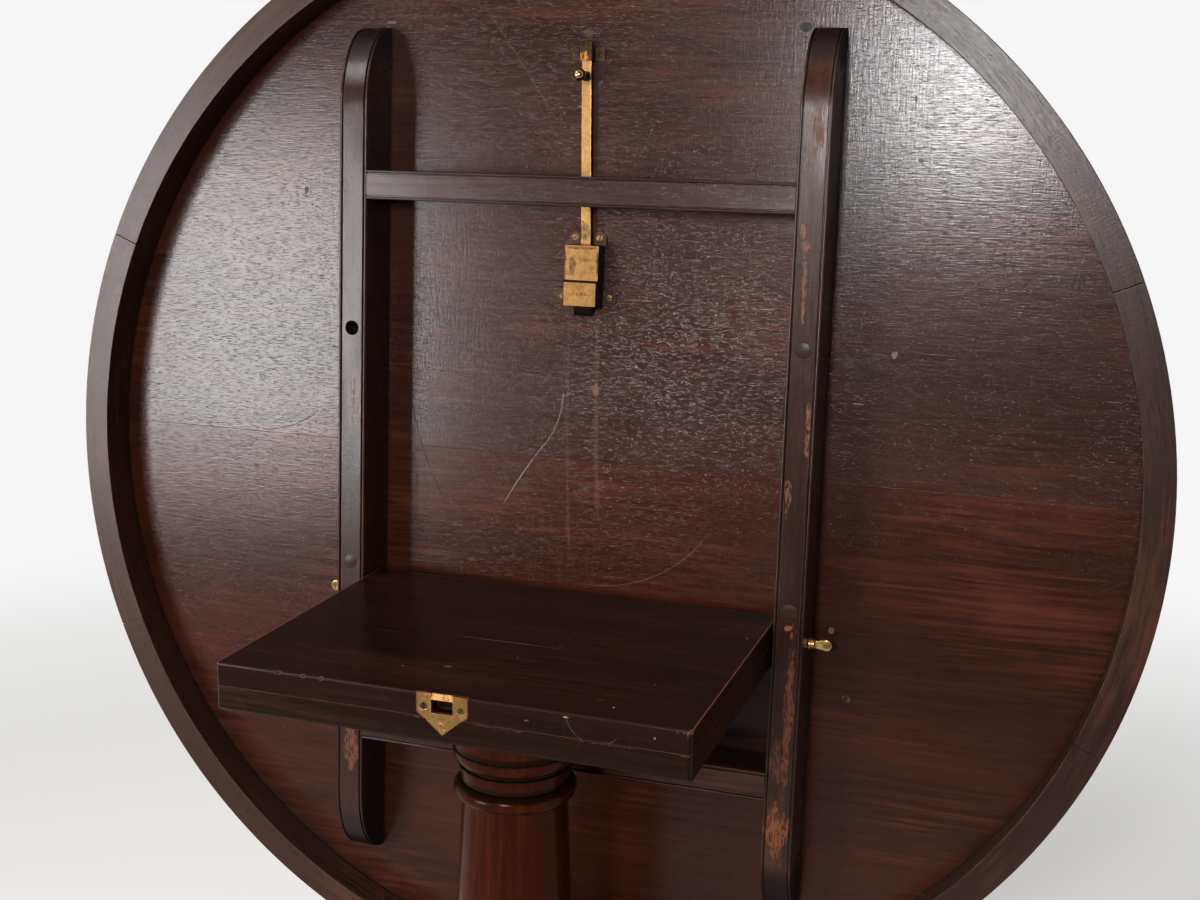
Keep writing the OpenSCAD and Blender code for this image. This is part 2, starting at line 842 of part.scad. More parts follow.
// Countersunk screw for the strike plate, its head flush with Z = 0
module strike_screw(fit) {
    translate([0, 0, -strike_head_t - fit])
        cylinder(h = strike_head_t + fit, d1 = small_screw_d + 2 * fit, d2 = strike_head_d + 2 * fit);
    translate([0, 0, -strike_bite - fit])
        cylinder(h = strike_bite, d = small_screw_d + 2 * fit);
}

// Plate with its slot, screw holes and a worn ramp on the edge that the tongue meets
module strike_plate() {
    color(brass_bright)
        on_block()
            difference() {
                along_y(block_front, block_front + strike_t)
                    strike_outline(0);
                translate([-strike_slot_w / 2, block_front - 1, strike_slot_low])
                    cube([strike_slot_w, strike_t + 2, strike_slot_h]);
                along_x(-strike_slot_w / 2, strike_slot_w / 2)
                    polygon([
                        [block_front - 1, strike_slot_low + strike_slot_h],
                        [block_front, strike_slot_low + strike_slot_h],
                        [block_front + strike_ramp, pivot_r + eps],
                        [block_front - 1, pivot_r + eps]
                    ]);
                for (p = strike_screw_spots)
                    translate([p[0], block_front, p[1]])
                        rotate([90, 0, 0])
                            strike_screw(glue_fit);
            }
}

module strike_screws() {
    color(steel)
        on_block()
            for (p = strike_screw_spots)
                translate([p[0], block_front, p[1]])
                    rotate([90, 0, 0])
                        difference() {
                            strike_screw(0);
                            translate([-strike_head_d, -screw_slot_w / 2, -screw_slot_w / 2])
                                cube([2 * strike_head_d, screw_slot_w, screw_slot_w]);
                        }
}

// Side outline of the block: a round top edge about the pivot and a chamfered front foot
block_side = concat(
    [[block_front, pivot_r]],
    arc(0, 0, pivot_r, pivot_r, 90, 0, 12),
    [
        [pivot_r, block_bottom],
        [block_front + block_chamfer, block_bottom],
        [block_front, block_bottom + block_chamfer]
    ]);

// The block with everything that is cut into it, between two heights
module block_board(z0, z1) {
    color(wood_dark)
        on_block()
            difference() {
                intersection() {
                    along_x(-block_w / 2, block_w / 2)
                        polygon(block_side);
                    along_y(block_front - 1, pivot_r + 1)
                        polygon([
                            [-block_w / 2, pivot_r + 1], [-block_w / 2, block_bottom + block_chamfer],
                            [block_chamfer - block_w / 2, block_bottom], [block_w / 2 - block_chamfer, block_bottom],
                            [block_w / 2, block_bottom + block_chamfer], [block_w / 2, pivot_r + 1]
                        ]);
                    translate([-block_w / 2 - 1, block_front - 1, z0])
                        cube([block_w + 2, block_d + 2, z1 - z0]);
                }
                translate([0, -column_back, 0])
                    cube([tenon_w + 2 * glue_fit, tenon_t + 2 * glue_fit, 2 * block_t], center = true);
                for (s = [-1, 1])
                    translate([s * (block_w / 2 - insert_l), 0, 0])
                        rotate([0, s * 90, 0])
                            cylinder(h = insert_l + 1, d = insert_d + 2 * glue_fit);
                along_y(block_front - 1, block_front + strike_t + glue_fit) {
                    strike_outline(glue_fit);
                    translate([-strike_w / 2 - glue_fit, pivot_r - eps])
                        square([strike_w + 2 * glue_fit, 1]);
                }
                translate([-strike_slot_w / 2 - glue_fit, block_front, strike_slot_low - glue_fit])
                    cube([strike_slot_w + 2 * glue_fit, pocket_d, strike_slot_h + 2 * glue_fit]);
                for (p = strike_screw_spots)
                    translate([p[0], block_front, p[1]])
                        rotate([90, 0, 0])
                            strike_screw(glue_fit);
            }
}

module block_upper() {
    block_board(pivot_r - block_upper_t, pivot_r + 1);
}

module block_lower() {
    block_board(block_bottom - 1, pivot_r - block_upper_t);
}

// Brass insert in the end of the block that takes a thumb bolt
module insert(side) {
    color(brass)
        on_block()
            translate([side * block_w / 2, 0, 0])
                rotate([0, -side * 90, 0])
                    difference() {
                        cylinder(h = insert_l, d = insert_d);
                        translate([0, 0, -1])
                            cylinder(h = insert_l + 2, d = bolt_d + 2 * run_fit);
                    }
}

module insert_left() {
    insert(-1);
}

module insert_right() {
    insert(1);
}

// Bolt with a collar and a flat oval thumb plate, on which a bearer turns
module thumb_bolt(side) {
    shank_l = bearer_out - block_w / 2 + bolt_in;
    plate_end = bolt_collar_l + thumb_l - thumb_h / 2;
    color(brass)
        on_block()
            translate([side * (bearer_out + run_fit), 0, 0])
                rotate([0, side * 90, 0]) {
                    translate([0, 0, -shank_l])
                        cylinder(h = shank_l + eps, d = bolt_d);
                    cylinder(h = bolt_collar_l, d = bolt_collar_d);
                    translate([0, thumb_t / 2, plate_end])
                        rotate([90, 0, 0])
                            cylinder(h = thumb_t, d = thumb_h);
                    translate([0, thumb_t / 2, bolt_collar_l + thumb_h / 2])
                        rotate([90, 0, 0])
                            cylinder(h = thumb_t, d = thumb_h);
                    translate([-thumb_h / 2, -thumb_t / 2, bolt_collar_l + thumb_h / 2])
                        cube([thumb_h, thumb_t, thumb_l - thumb_h]);
                    translate([-thumb_h / 3, -thumb_t / 2, bolt_collar_l - eps])
                        cube([2 * thumb_h / 3, thumb_t, thumb_h / 2]);
                }
}

module thumb_bolt_left() {
    thumb_bolt(-1);
}

module thumb_bolt_right() {
    thumb_bolt(1);
}

// Turned outline of the column, [radius, distance below the block]
column_outline = concat(
    [[head_r - 3, 0], [head_r, 3], [head_r, head_h - 2], [head_r - 2, head_h]],
    arc(head_r - 3, cavetto_end, head_r - 3 - capital_r, cavetto_end - head_h - 3, -90, -180, 10),
    [[capital_r, cavetto_end + groove_w]],
    [[capital_r - groove_d, cavetto_end + 1.5 * groove_w], [capital_r - groove_d, cavetto_end + 2.5 * groove_w]],
    [[capital_r, cavetto_end + 3 * groove_w]],
    arc(capital_r - 9, ovolo_start, 9, ovolo_end - ovolo_start, 0, 70, 8),
    [[neck_r - 1, ovolo_end], [neck_r - 1, neck_step]],
    [[neck_r + 1.4, neck_step + 0.5], [neck_r + 1.4, neck_start - 0.5], [neck_r, neck_start]],
    [[neck_r - 0.6, ring_start - 1], [neck_r - 1.4, ring_start]],
    arc(neck_r - 1.4, (ring_start + ring_end) / 2, ring_r - neck_r + 1.4, ring_h / 2, -80, 80, 14),
    [[shaft_top_r + 0.8, ring_end], [shaft_top_r, ring_end + 4], [shaft_top_r, shaft_start]],
    [[shaft_foot_r, shaft_l - flare_h]],
    arc(shaft_foot_r + flare_r, shaft_l - flare_h, flare_r, flare_h - 4, 180, 90, 6),
    [[shaft_foot_r + flare_r, shaft_l]]);

// Column with the square tenon through the block and the round one in the platform
module column() {
    color(wood_column)
        translate([0, column_y, 0]) {
            rotate_extrude()
                polygon(concat(
                    [[0, column_top]],
                    [for (p = column_outline) [p[0], column_top - p[1]]],
                    [[spigot_r, collar_top], [spigot_r, foot_h], [0, foot_h]]));
            translate([-tenon_w / 2, -tenon_t / 2, column_top - 1])
                cube([tenon_w, tenon_t, block_t + 1]);
        }
}

// Turned collar: a round, a hollow and a fillet
module column_collar() {
    foot_z = foot_h + platform_t;
    round_h = 22;
    hollow_h = collar_h - round_h - 8;
    color(wood_column)
        translate([0, column_y, foot_z])
            rotate_extrude()
                polygon(concat(
                    [[spigot_r + glue_fit, 0]],
                    arc(collar_r - 10, round_h / 2, 10, round_h / 2, -90, 90, 12),
                    [[collar_r - 8, round_h], [collar_r - 8, round_h + 3]],
                    arc(collar_r - 9, round_h + 3 + hollow_h, 14, hollow_h, -90, -180, 8),
                    [[collar_r - 20, collar_h - 5], [collar_r - 20, collar_h], [spigot_r + glue_fit, collar_h]]));
}

// Plan of the platform, drawn in by d: three lobes joined by hollow sides
module platform_plan(d) {
    for (a = foot_turns)
        translate([foot_reach * cos(a), foot_reach * sin(a)])
            circle(r = lobe_r - d);
    difference() {
        polygon([
            for (a = foot_turns)
                for (p = [[foot_reach, a], [side_dist, a + 60]])
                    [p[0] * cos(p[1]), p[0] * sin(p[1])]
        ]);
        for (a = foot_turns)
            translate([side_dist * cos(a + 60), side_dist * sin(a + 60)])
                circle(r = side_r + d, $fn = 180);
    }
}

module platform() {
    color(wood_dark)
        translate([0, column_y, foot_h])
            difference() {
                union() {
                    linear_extrude(platform_t - platform_step)
                        platform_plan(0);
                    translate([0, 0, platform_t - platform_step - eps])
                        linear_extrude(platform_step + eps)
                            platform_plan(platform_step);
                }
                translate([0, 0, -1])
                    cylinder(h = platform_t + 2, r = spigot_r + glue_fit);
                for (a = foot_turns)
                    translate([foot_reach * cos(a), foot_reach * sin(a), -1])
                        cylinder(h = dowel_l + 1.5, r = dowel_r + glue_fit);
            }
}

// Turned bun foot with the dowel that holds it in the platform
module foot(a) {
    bun_h = foot_h - 19;
    ring_z = foot_h - 15;
    color(wood_dark)
        translate([foot_reach * cos(a), column_y + foot_reach * sin(a), 0])
            rotate_extrude()
                polygon(concat(
                    [[0, 0]],
                    arc(sole_r, bun_h / 2, foot_r - sole_r, bun_h / 2, -90, 60, 16),
                    [[sole_r + 4, bun_h], [sole_r + 4, ring_z]],
                    arc(sole_r + 8, foot_h - 9, 6, 6, -80, 80, 8),
                    [[sole_r + 6, foot_h - 2], [sole_r + 6, foot_h], [dowel_r, foot_h]],
                    [[dowel_r, foot_h + dowel_l], [0, foot_h + dowel_l]]));
}

top_board_upper();
top_board_lower();
apron(1);  // apron_1
apron(2);  // apron_2
apron(3);  // apron_3
apron(4);  // apron_4
apron(5);  // apron_5
apron(6);  // apron_6
apron(7);  // apron_7
apron(8);  // apron_8
bearer_left();
bearer_right();
rail_upper();
rail_lower();
bearer_screws();
bearer_plugs();
catch_case();
catch_spring();
catch_guide();
catch_screws();
guide_screws();
catch_bolt();
catch_rod();
catch_knob();
block_upper();
block_lower();
strike_plate();
strike_screws();
insert_left();
insert_right();
thumb_bolt_left();
thumb_bolt_right();
column();
column_collar();
platform();
foot(foot_turns[0]);  // foot_1
foot(foot_turns[1]);  // foot_2
foot(foot_turns[2]);  // foot_3
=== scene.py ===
"""Dresses a tilt-top breakfast table: worn mahogany, old brass and dark steel.

All lengths are in metres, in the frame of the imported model. Pieces of the turned-up
top are drawn as they lie on a bench, underside up (X across, Y up the boards from the
pivot, Z off the underside), and ON_TOP stands them in place.
"""

import json
import logging
import math
from dataclasses import dataclass, field
from enum import Enum
from functools import cache
from typing import Callable, Sequence

import bmesh
import bpy
from mathutils import Matrix, Vector, noise


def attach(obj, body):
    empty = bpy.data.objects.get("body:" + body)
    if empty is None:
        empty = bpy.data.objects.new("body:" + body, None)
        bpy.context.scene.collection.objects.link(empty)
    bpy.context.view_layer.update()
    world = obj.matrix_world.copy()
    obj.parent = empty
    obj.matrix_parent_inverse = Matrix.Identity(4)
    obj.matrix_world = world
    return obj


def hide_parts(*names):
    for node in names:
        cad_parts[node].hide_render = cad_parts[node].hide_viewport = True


LOG = logging.getLogger("breakfast_table")
MM = 0.001

# Radius that stands for the axis in a turned profile
CORE = 1e-5
# Turn above which soften() rounds an edge
SHARP = math.radians(32)

Point = tuple[float, float]
Spot = tuple[float, float, float]
Colour = tuple[float, float, float]
Piece = bpy.types.Object
Socket = bpy.types.NodeSocket

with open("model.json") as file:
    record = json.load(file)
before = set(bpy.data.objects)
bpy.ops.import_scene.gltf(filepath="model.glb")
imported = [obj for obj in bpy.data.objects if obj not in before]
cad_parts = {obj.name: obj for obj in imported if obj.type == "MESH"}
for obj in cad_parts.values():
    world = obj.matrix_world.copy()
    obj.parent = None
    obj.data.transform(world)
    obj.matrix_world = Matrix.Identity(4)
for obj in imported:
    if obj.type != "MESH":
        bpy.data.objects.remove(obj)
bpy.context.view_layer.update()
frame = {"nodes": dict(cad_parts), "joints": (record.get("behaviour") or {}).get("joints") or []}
TILT = next(j for j in frame["joints"] if j["name"] == "top_tilt")
PIVOT = Vector(TILT["pos_m"])
# How far the underside leans at rest
LEAN = math.radians(2.5)
# The underside's distance from the pivot, and the middle of the top along the boards from it
UNDERSIDE = 26 * MM
MIDDLE = 157 * MM
# Where pieces go that are drawn on the underside, about the pivot, and along the rod
ON_TOP = (
    Matrix.Translation(PIVOT)
    @ Matrix.Rotation(math.radians(90) - LEAN, 4, "X")
    @ Matrix.Translation((0, 0, -UNDERSIDE))
)
ON_BLOCK = Matrix.Translation(PIVOT)
# The point about which the rod leans, and by how much
ROD_TURN = Vector((0, 400 * MM, 0))
ROD_LEAN = math.radians(1.6)
ON_ROD = (
    ON_TOP
    @ Matrix.Translation(ROD_TURN)
    @ Matrix.Rotation(ROD_LEAN, 4, "Z")
    @ Matrix.Translation(-ROD_TURN)
)
ROD_ON_TOP = ON_TOP.inverted() @ ON_ROD


# Shapes


def arc(cx: float, cy: float, rx: float, ry: float, a0: float, a1: float, n: int) -> list[Point]:
    """Points of an elliptical arc.

    Args:
        cx, cy: Centre.
        rx, ry: Half-axes.
        a0, a1: First and last angle in degrees.
        n: Number of steps.

    Returns:
        n + 1 points from a0 to a1.
    """
    turns = [math.radians(a0 + (a1 - a0) * i / n) for i in range(n + 1)]
    return [(cx + rx * math.cos(t), cy + ry * math.sin(t)) for t in turns]


def solid(name: str, verts: Sequence[Sequence[float]], faces: Sequence[Sequence[int]]) -> Piece:
    """Makes an object from points and faces, with its normals turned outwards.

    Args:
        name: Name of the piece.
        verts: Points in metres.
        faces: Corner numbers of each face.

    Returns:
        The new object, linked to the scene.
    """
    mesh = bpy.data.meshes.new(name)
    mesh.from_pydata([tuple(v) for v in verts], [], [tuple(f) for f in faces])
    work = bmesh.new()
    work.from_mesh(mesh)
    bmesh.ops.remove_doubles(work, verts=work.verts, dist=1e-6)
    bmesh.ops.recalc_face_normals(work, faces=work.faces)
    work.to_mesh(mesh)
    work.free()
    piece = bpy.data.objects.new(name, mesh)
    bpy.context.scene.collection.objects.link(piece)
    return piece


class Axis(Enum):
    """Direction in which an outline is pushed out."""

    X = "x"
    Y = "y"
    Z = "z"


def caps(count: int, rings: int) -> list[Sequence[int]]:
    """Returns the two end faces of a row of rings with this many points each."""
    last = (rings - 1) * count
    return [range(count), range(last, last + count)]


def bridge(count: int, rings: int, closed: bool = False) -> list[Sequence[int]]:
    """Lays faces between neighbouring rings of points.

    Args:
        count: Number of points in a ring.
        rings: Number of rings.
        closed: True if the last ring joins the first.

    Returns:
        Corner numbers of each face.
    """
    faces: list[Sequence[int]] = []
    for k in range(rings if closed else rings - 1):
        low = k * count
        high = (k + 1) % rings * count
        for i in range(count):
            j = (i + 1) % count
            faces.append((low + i, low + j, high + j, high + i))
    return faces


def loft(name: str, rings: Sequence[Sequence[Spot]]) -> Piece:
    """Makes a closed piece from rings of points, the same number in each.

    Args:
        name: Name of the piece.
        rings: The rings, from one end to the other.

    Returns:
        The piece.
    """
    count = len(rings[0])
    faces = caps(count, len(rings)) + bridge(count, len(rings))
    return solid(name, [p for ring in rings for p in ring], faces)


def prism(name: str, outline: Sequence[Point], lo: float, hi: float, axis: Axis = Axis.Z) -> Piece:
    """Pushes an outline out between two heights.

    Args:
        name: Name of the piece.
        outline: Closed outline, as (Y, Z), (X, Z) or (X, Y) for axis X, Y or Z.
        lo, hi: Start and end along the axis.
        axis: Direction of the push.

    Returns:
        The closed piece.
    """
    order: dict[Axis, Callable[[float, float, float], Spot]] = {
        Axis.X: lambda a, b, h: (h, a, b),
        Axis.Y: lambda a, b, h: (a, h, b),
        Axis.Z: lambda a, b, h: (a, b, h),
    }
    return loft(name, [[order[axis](a, b, h) for a, b in outline] for h in (lo, hi)])


def lathe(name: str, profile: Sequence[Point], steps: int, closed: bool = False) -> Piece:
    """Turns a profile round the Z axis.

    Args:
        name: Name of the piece.
        profile: Points (radius, height) from one end to the other.
        steps: Number of steps round the axis.
        closed: True if the profile runs back to its start, as the profile of a ring does.

    Returns:
        The turned piece.
    """
    turns = [2 * math.pi * i / steps for i in range(steps)]
    verts = [(r * math.cos(t), r * math.sin(t), z) for r, z in profile for t in turns]
    faces = bridge(steps, len(profile), closed)
    if not closed:
        faces += caps(steps, len(profile))
    return solid(name, verts, faces)


def bake_modifiers(piece: Piece) -> Piece:
    """Replaces a piece's mesh by its mesh with all modifiers applied.

    Args:
        piece: The piece.

    Returns:
        The same piece.
    """
    graph = bpy.context.evaluated_depsgraph_get()
    made = bpy.data.meshes.new_from_object(piece.evaluated_get(graph))
    old = piece.data
    piece.modifiers.clear()
    piece.data = made
    bpy.data.meshes.remove(old)
    return piece


class Way(Enum):
    """What tools do to a piece."""

    CUT = "DIFFERENCE"
    ADD = "UNION"
    KEEP = "INTERSECT"


def combine(piece: Piece, tools: Sequence[Piece], way: Way = Way.CUT) -> Piece:
    """Cuts tools out of a piece, adds them to it, or keeps what lies inside them.

    Args:
        piece: The piece that stays.
        tools: The pieces that are used up.
        way: What the tools do.

    Returns:
        The piece with its new mesh.
    """
    for tool in tools:
        step = piece.modifiers.new("cut", "BOOLEAN")
        step.operation = way.value
        step.solver = "EXACT"
        step.object = tool
    bake_modifiers(piece)
    for tool in tools:
        bpy.data.objects.remove(tool)
    return piece


def soften(piece: Piece, width: float, segments: int = 2) -> Piece:
    """Rounds every sharp edge of a piece.

    Args:
        piece: The piece.
        width: Width of the rounding.
        segments: Number of facets across it.

    Returns:
        The same piece.
    """
    step = piece.modifiers.new("edges", "BEVEL")
    step.width = width
    step.segments = segments
    step.limit_method = "ANGLE"
    step.angle_limit = SHARP
    step.use_clamp_overlap = True
    step.harden_normals = False
    return bake_modifiers(piece)


def shade(piece: Piece, angle: float = 38) -> Piece:
    """Shades a piece smoothly, with its flat faces flat.

    Args:
        piece: The piece.
        angle: Turn in degrees above which an edge stays sharp.

    Returns:
        The same piece.
    """
    mesh = piece.data
    mesh.polygons.foreach_set("use_smooth", [True] * len(mesh.polygons))
    mesh.set_sharp_from_angle(angle=math.radians(angle))
    mesh.update()
    step = piece.modifiers.new("normals", "WEIGHTED_NORMAL")
    step.mode = "FACE_AREA"
    step.weight = 50
    step.keep_sharp = True
    return bake_modifiers(piece)


def place(piece: Piece, where: Matrix) -> Piece:
    """Moves the points of a piece, whose object stays at the origin.

    Args:
        piece: The piece.
        where: The move.

    Returns:
        The same piece.
    """
    piece.data.transform(where)
    piece.data.update()
    return piece


def join(name: str, parts: Sequence[Piece]) -> Piece:
    """Makes one piece out of several, which are used up.

    Args:
        name: Name of the new piece.
        parts: The pieces to join, their objects at the origin.

    Returns:
        The joined piece.
    """
    work = bmesh.new()
    for part in parts:
        work.from_mesh(part.data)
    mesh = bpy.data.meshes.new(name)
    work.to_mesh(mesh)
    work.free()
    for part in parts:
        bpy.data.objects.remove(part)
    piece = bpy.data.objects.new(name, mesh)
    bpy.context.scene.collection.objects.link(piece)
    return piece


def at(x: float, y: float, z: float = 0.0) -> Matrix:
    """Returns a shift by x, y and z metres."""
    return Matrix.Translation((x, y, z))


def turn(degrees: float, axis: str) -> Matrix:
    """Returns a turn about one of the axes."""
    return Matrix.Rotation(math.radians(degrees), 4, axis)


def rect(half: float, lo: float, hi: float) -> list[Point]:
    """Returns a rectangle about the middle, between two heights."""
    return [(-half, lo), (half, lo), (half, hi), (-half, hi)]


def polar(reach: float, degrees: float) -> Point:
    """Returns the point at this distance and direction from the middle."""
    return reach * math.cos(math.radians(degrees)), reach * math.sin(math.radians(degrees))


def heading(start: Point, end: Point) -> float:
    """Returns the direction from one point to another in degrees."""
    return math.degrees(math.atan2(end[1] - start[1], end[0] - start[0]))


def metres(points: Sequence[Point]) -> list[Point]:
    """Returns points given in millimetres in metres."""
    return [(a * MM, b * MM) for a, b in points]


def slotted_screw(
    head_r: float, head_h: float, shank_r: float, shank_l: float, slot_turn: float, sink: float = 0.0
) -> Piece:
    """A domed screw head with a filed slot, on a plain shank, along Z.

    Args:
        head_r, head_h: Radius and height of the head, which sits above Z = 0.
        shank_r, shank_l: Radius and length of the shank below it.
        slot_turn: Angle of the slot in degrees.
        sink: Depth of the cone under a countersunk head.

    Returns:
        The screw.
    """
    rim = head_h * 0.45
    dome = arc(0, rim, head_r, head_h - rim, 0, 86, 6)
    shank = [(CORE, -shank_l), (shank_r, -shank_l), (shank_r, -sink)]
    screw = lathe("screw", [*shank, (head_r, 0), *dome, (CORE, head_h)], 32)
    half = 0.45 * MM
    floor = rim if sink == 0 else -0.35 * sink
    slot = prism("slot", rect(2 * head_r, -half, half), floor, 2 * head_h)
    place(slot, turn(slot_turn, "Z"))
    return shade(combine(screw, [slot]))


def coat(piece: Piece, index: int) -> Piece:
    """Gives every face of a piece the material with this index, and returns the piece."""
    piece.data.polygons.foreach_set("material_index", [index] * len(piece.data.polygons))
    return piece


# Shader effects


class Graph:
    """Adds nodes to one shader tree and links them."""

    def __init__(self, tree: bpy.types.NodeTree) -> None:
        """Starts on an existing tree."""
        self.tree = tree

    def node(self, kind: str, feeds: dict | None = None, **settings: object) -> bpy.types.Node:
        """Adds a node.

        Args:
            kind: Node type without its leading "ShaderNode".
            feeds: Input name or number to a value or an output socket.
            **settings: Properties of the node.

        Returns:
            The new node.
        """
        made = self.tree.nodes.new("ShaderNode" + kind)
        for key, value in settings.items():
            setattr(made, key, value)
        for key, value in (feeds or {}).items():
            self.feed(made.inputs[key], value)
        return made

    def feed(self, socket: Socket, value: object) -> None:
        """Links an output to a socket, or sets the socket's value.

        Args:
            socket: The input socket.
            value: An output socket, a number, a vector or a colour.
        """
        if isinstance(value, Socket):
            self.tree.links.new(value, socket)
        elif isinstance(value, tuple) and socket.type == "RGBA":
            socket.default_value = (*value, 1.0)
        else:
            socket.default_value = value

    def group(self, tree: bpy.types.ShaderNodeTree, **feeds: object) -> Sequence[Socket]:
        """Adds an effect, fed by input name, and returns its outputs."""
        return self.node("Group", feeds, node_tree=tree).outputs

    def math(self, way: str, a: object, b: object = 0.0, clamp: bool = False) -> Socket:
        """Returns the result of one arithmetic step."""
        return self.node("Math", {0: a, 1: b}, operation=way, use_clamp=clamp).outputs[0]

    def total(self, *terms: tuple[float, object]) -> Socket:
        """Adds up weighted values.

        Args:
            *terms: Weight and value of each.

        Returns:
            Their sum.
        """
        parts = [self.math("MULTIPLY", value, weight) for weight, value in terms]
        whole = parts[0]
        for part in parts[1:]:
            whole = self.math("ADD", whole, part)
        return whole

    def most(self, *masks: Socket | None) -> Socket | None:
        """Takes the strongest of several masks.

        Args:
            *masks: The masks, or None for one that isn't there.

        Returns:
            The strongest at each point, or None if there is no mask.
        """
        whole = None
        for mask in masks:
            if mask is not None:
                whole = mask if whole is None else self.math("MAXIMUM", whole, mask)
        return whole

    def vector(self, way: str, a: object, b: object) -> Socket:
        """Returns the result of one vector step."""
        return self.node("VectorMath", {0: a, 1: b}, operation=way).outputs["Vector"]

    def length(self, vector: object) -> Socket:
        """Returns the length of a vector."""
        return self.node("VectorMath", {0: vector}, operation="LENGTH").outputs["Value"]

    def dot(self, a: object, b: object) -> Socket:
        """Returns the dot product of two vectors."""
        return self.node("VectorMath", {0: a, 1: b}, operation="DOT_PRODUCT").outputs["Value"]

    def split(self, vector: object) -> Sequence[Socket]:
        """Returns the X, Y and Z of a vector."""
        return self.node("SeparateXYZ", {0: vector}).outputs

    def unite(self, x: object, y: object, z: object) -> Socket:
        """Returns the vector with these parts."""
        return self.node("CombineXYZ", {0: x, 1: y, 2: z}).outputs[0]

    def mix(self, amount: object, a: object, b: object) -> Socket:
        """Returns two colours mixed by an amount from 0 to 1."""
        return self.node("Mix", {0: amount, 6: a, 7: b}, data_type="RGBA").outputs[2]

    def between(self, amount: object, a: object, b: object) -> Socket:
        """Returns a number between a and b."""
        return self.node("Mix", {0: amount, 2: a, 3: b}, data_type="FLOAT").outputs[0]

    def spread(
        self, value: object, lo: object, hi: object, to_lo: object = 0.0, to_hi: object = 1.0
    ) -> Socket:
        """Returns a value mapped smoothly from lo..hi to to_lo..to_hi."""
        feeds = {"Value": value, "From Min": lo, "From Max": hi, "To Min": to_lo, "To Max": to_hi}
        return self.node("MapRange", feeds, interpolation_type="SMOOTHSTEP").outputs[0]

    def noise(
        self, where: object, size: Spot, detail: float = 3.0, rough: float = 0.55, warp: float = 0.0
    ) -> Socket:
        """Makes cloudy noise.

        Args:
            where: Coordinates.
            size: Number of patches per metre along each axis.
            detail: Number of finer layers.
            rough: Strength of the finer layers.
            warp: Distortion.

        Returns:
            The noise, from 0 to 1.
        """
        scaled = self.vector("MULTIPLY", where, size)
        feeds = {"Vector": scaled, "Scale": 1.0, "Detail": detail, "Roughness": rough, "Distortion": warp}
        return self.node("TexNoise", feeds).outputs["Fac"]

    def finish(self, shader: bpy.types.Node, kind: str = "OutputMaterial") -> None:
        """Ends the tree with a shader."""
        self.node(kind, {0: shader.outputs[0]})


def cleared(holder: bpy.types.Material | bpy.types.World) -> Graph:
    """Turns on the nodes of a material or a world, and clears them.

    Args:
        holder: The material or world.

    Returns:
        Its empty graph.
    """
    holder.use_nodes = True
    holder.node_tree.nodes.clear()
    return Graph(holder.node_tree)


def effect(
    name: str, inputs: dict[str, str], outputs: dict[str, str], build: Callable[[Graph, dict], dict]
) -> bpy.types.ShaderNodeTree:
    """Makes a shader node group once.

    Args:
        name: Name of the effect.
        inputs: Name and kind (Float, Color or Vector) of each input.
        outputs: Name and kind of each output.
        build: Makes the inner nodes from the inputs and returns a socket for each output.

    Returns:
        The node group.
    """
    tree = bpy.data.node_groups.new(name, "ShaderNodeTree")
    for way, sockets in (("INPUT", inputs), ("OUTPUT", outputs)):
        for label, kind in sockets.items():
            tree.interface.new_socket(label, in_out=way, socket_type="NodeSocket" + kind)
    entry = tree.nodes.new("NodeGroupInput")
    leave = tree.nodes.new("NodeGroupOutput")
    for label, socket in build(Graph(tree), {label: entry.outputs[label] for label in inputs}).items():
        tree.links.new(socket, leave.inputs[label])
    return tree


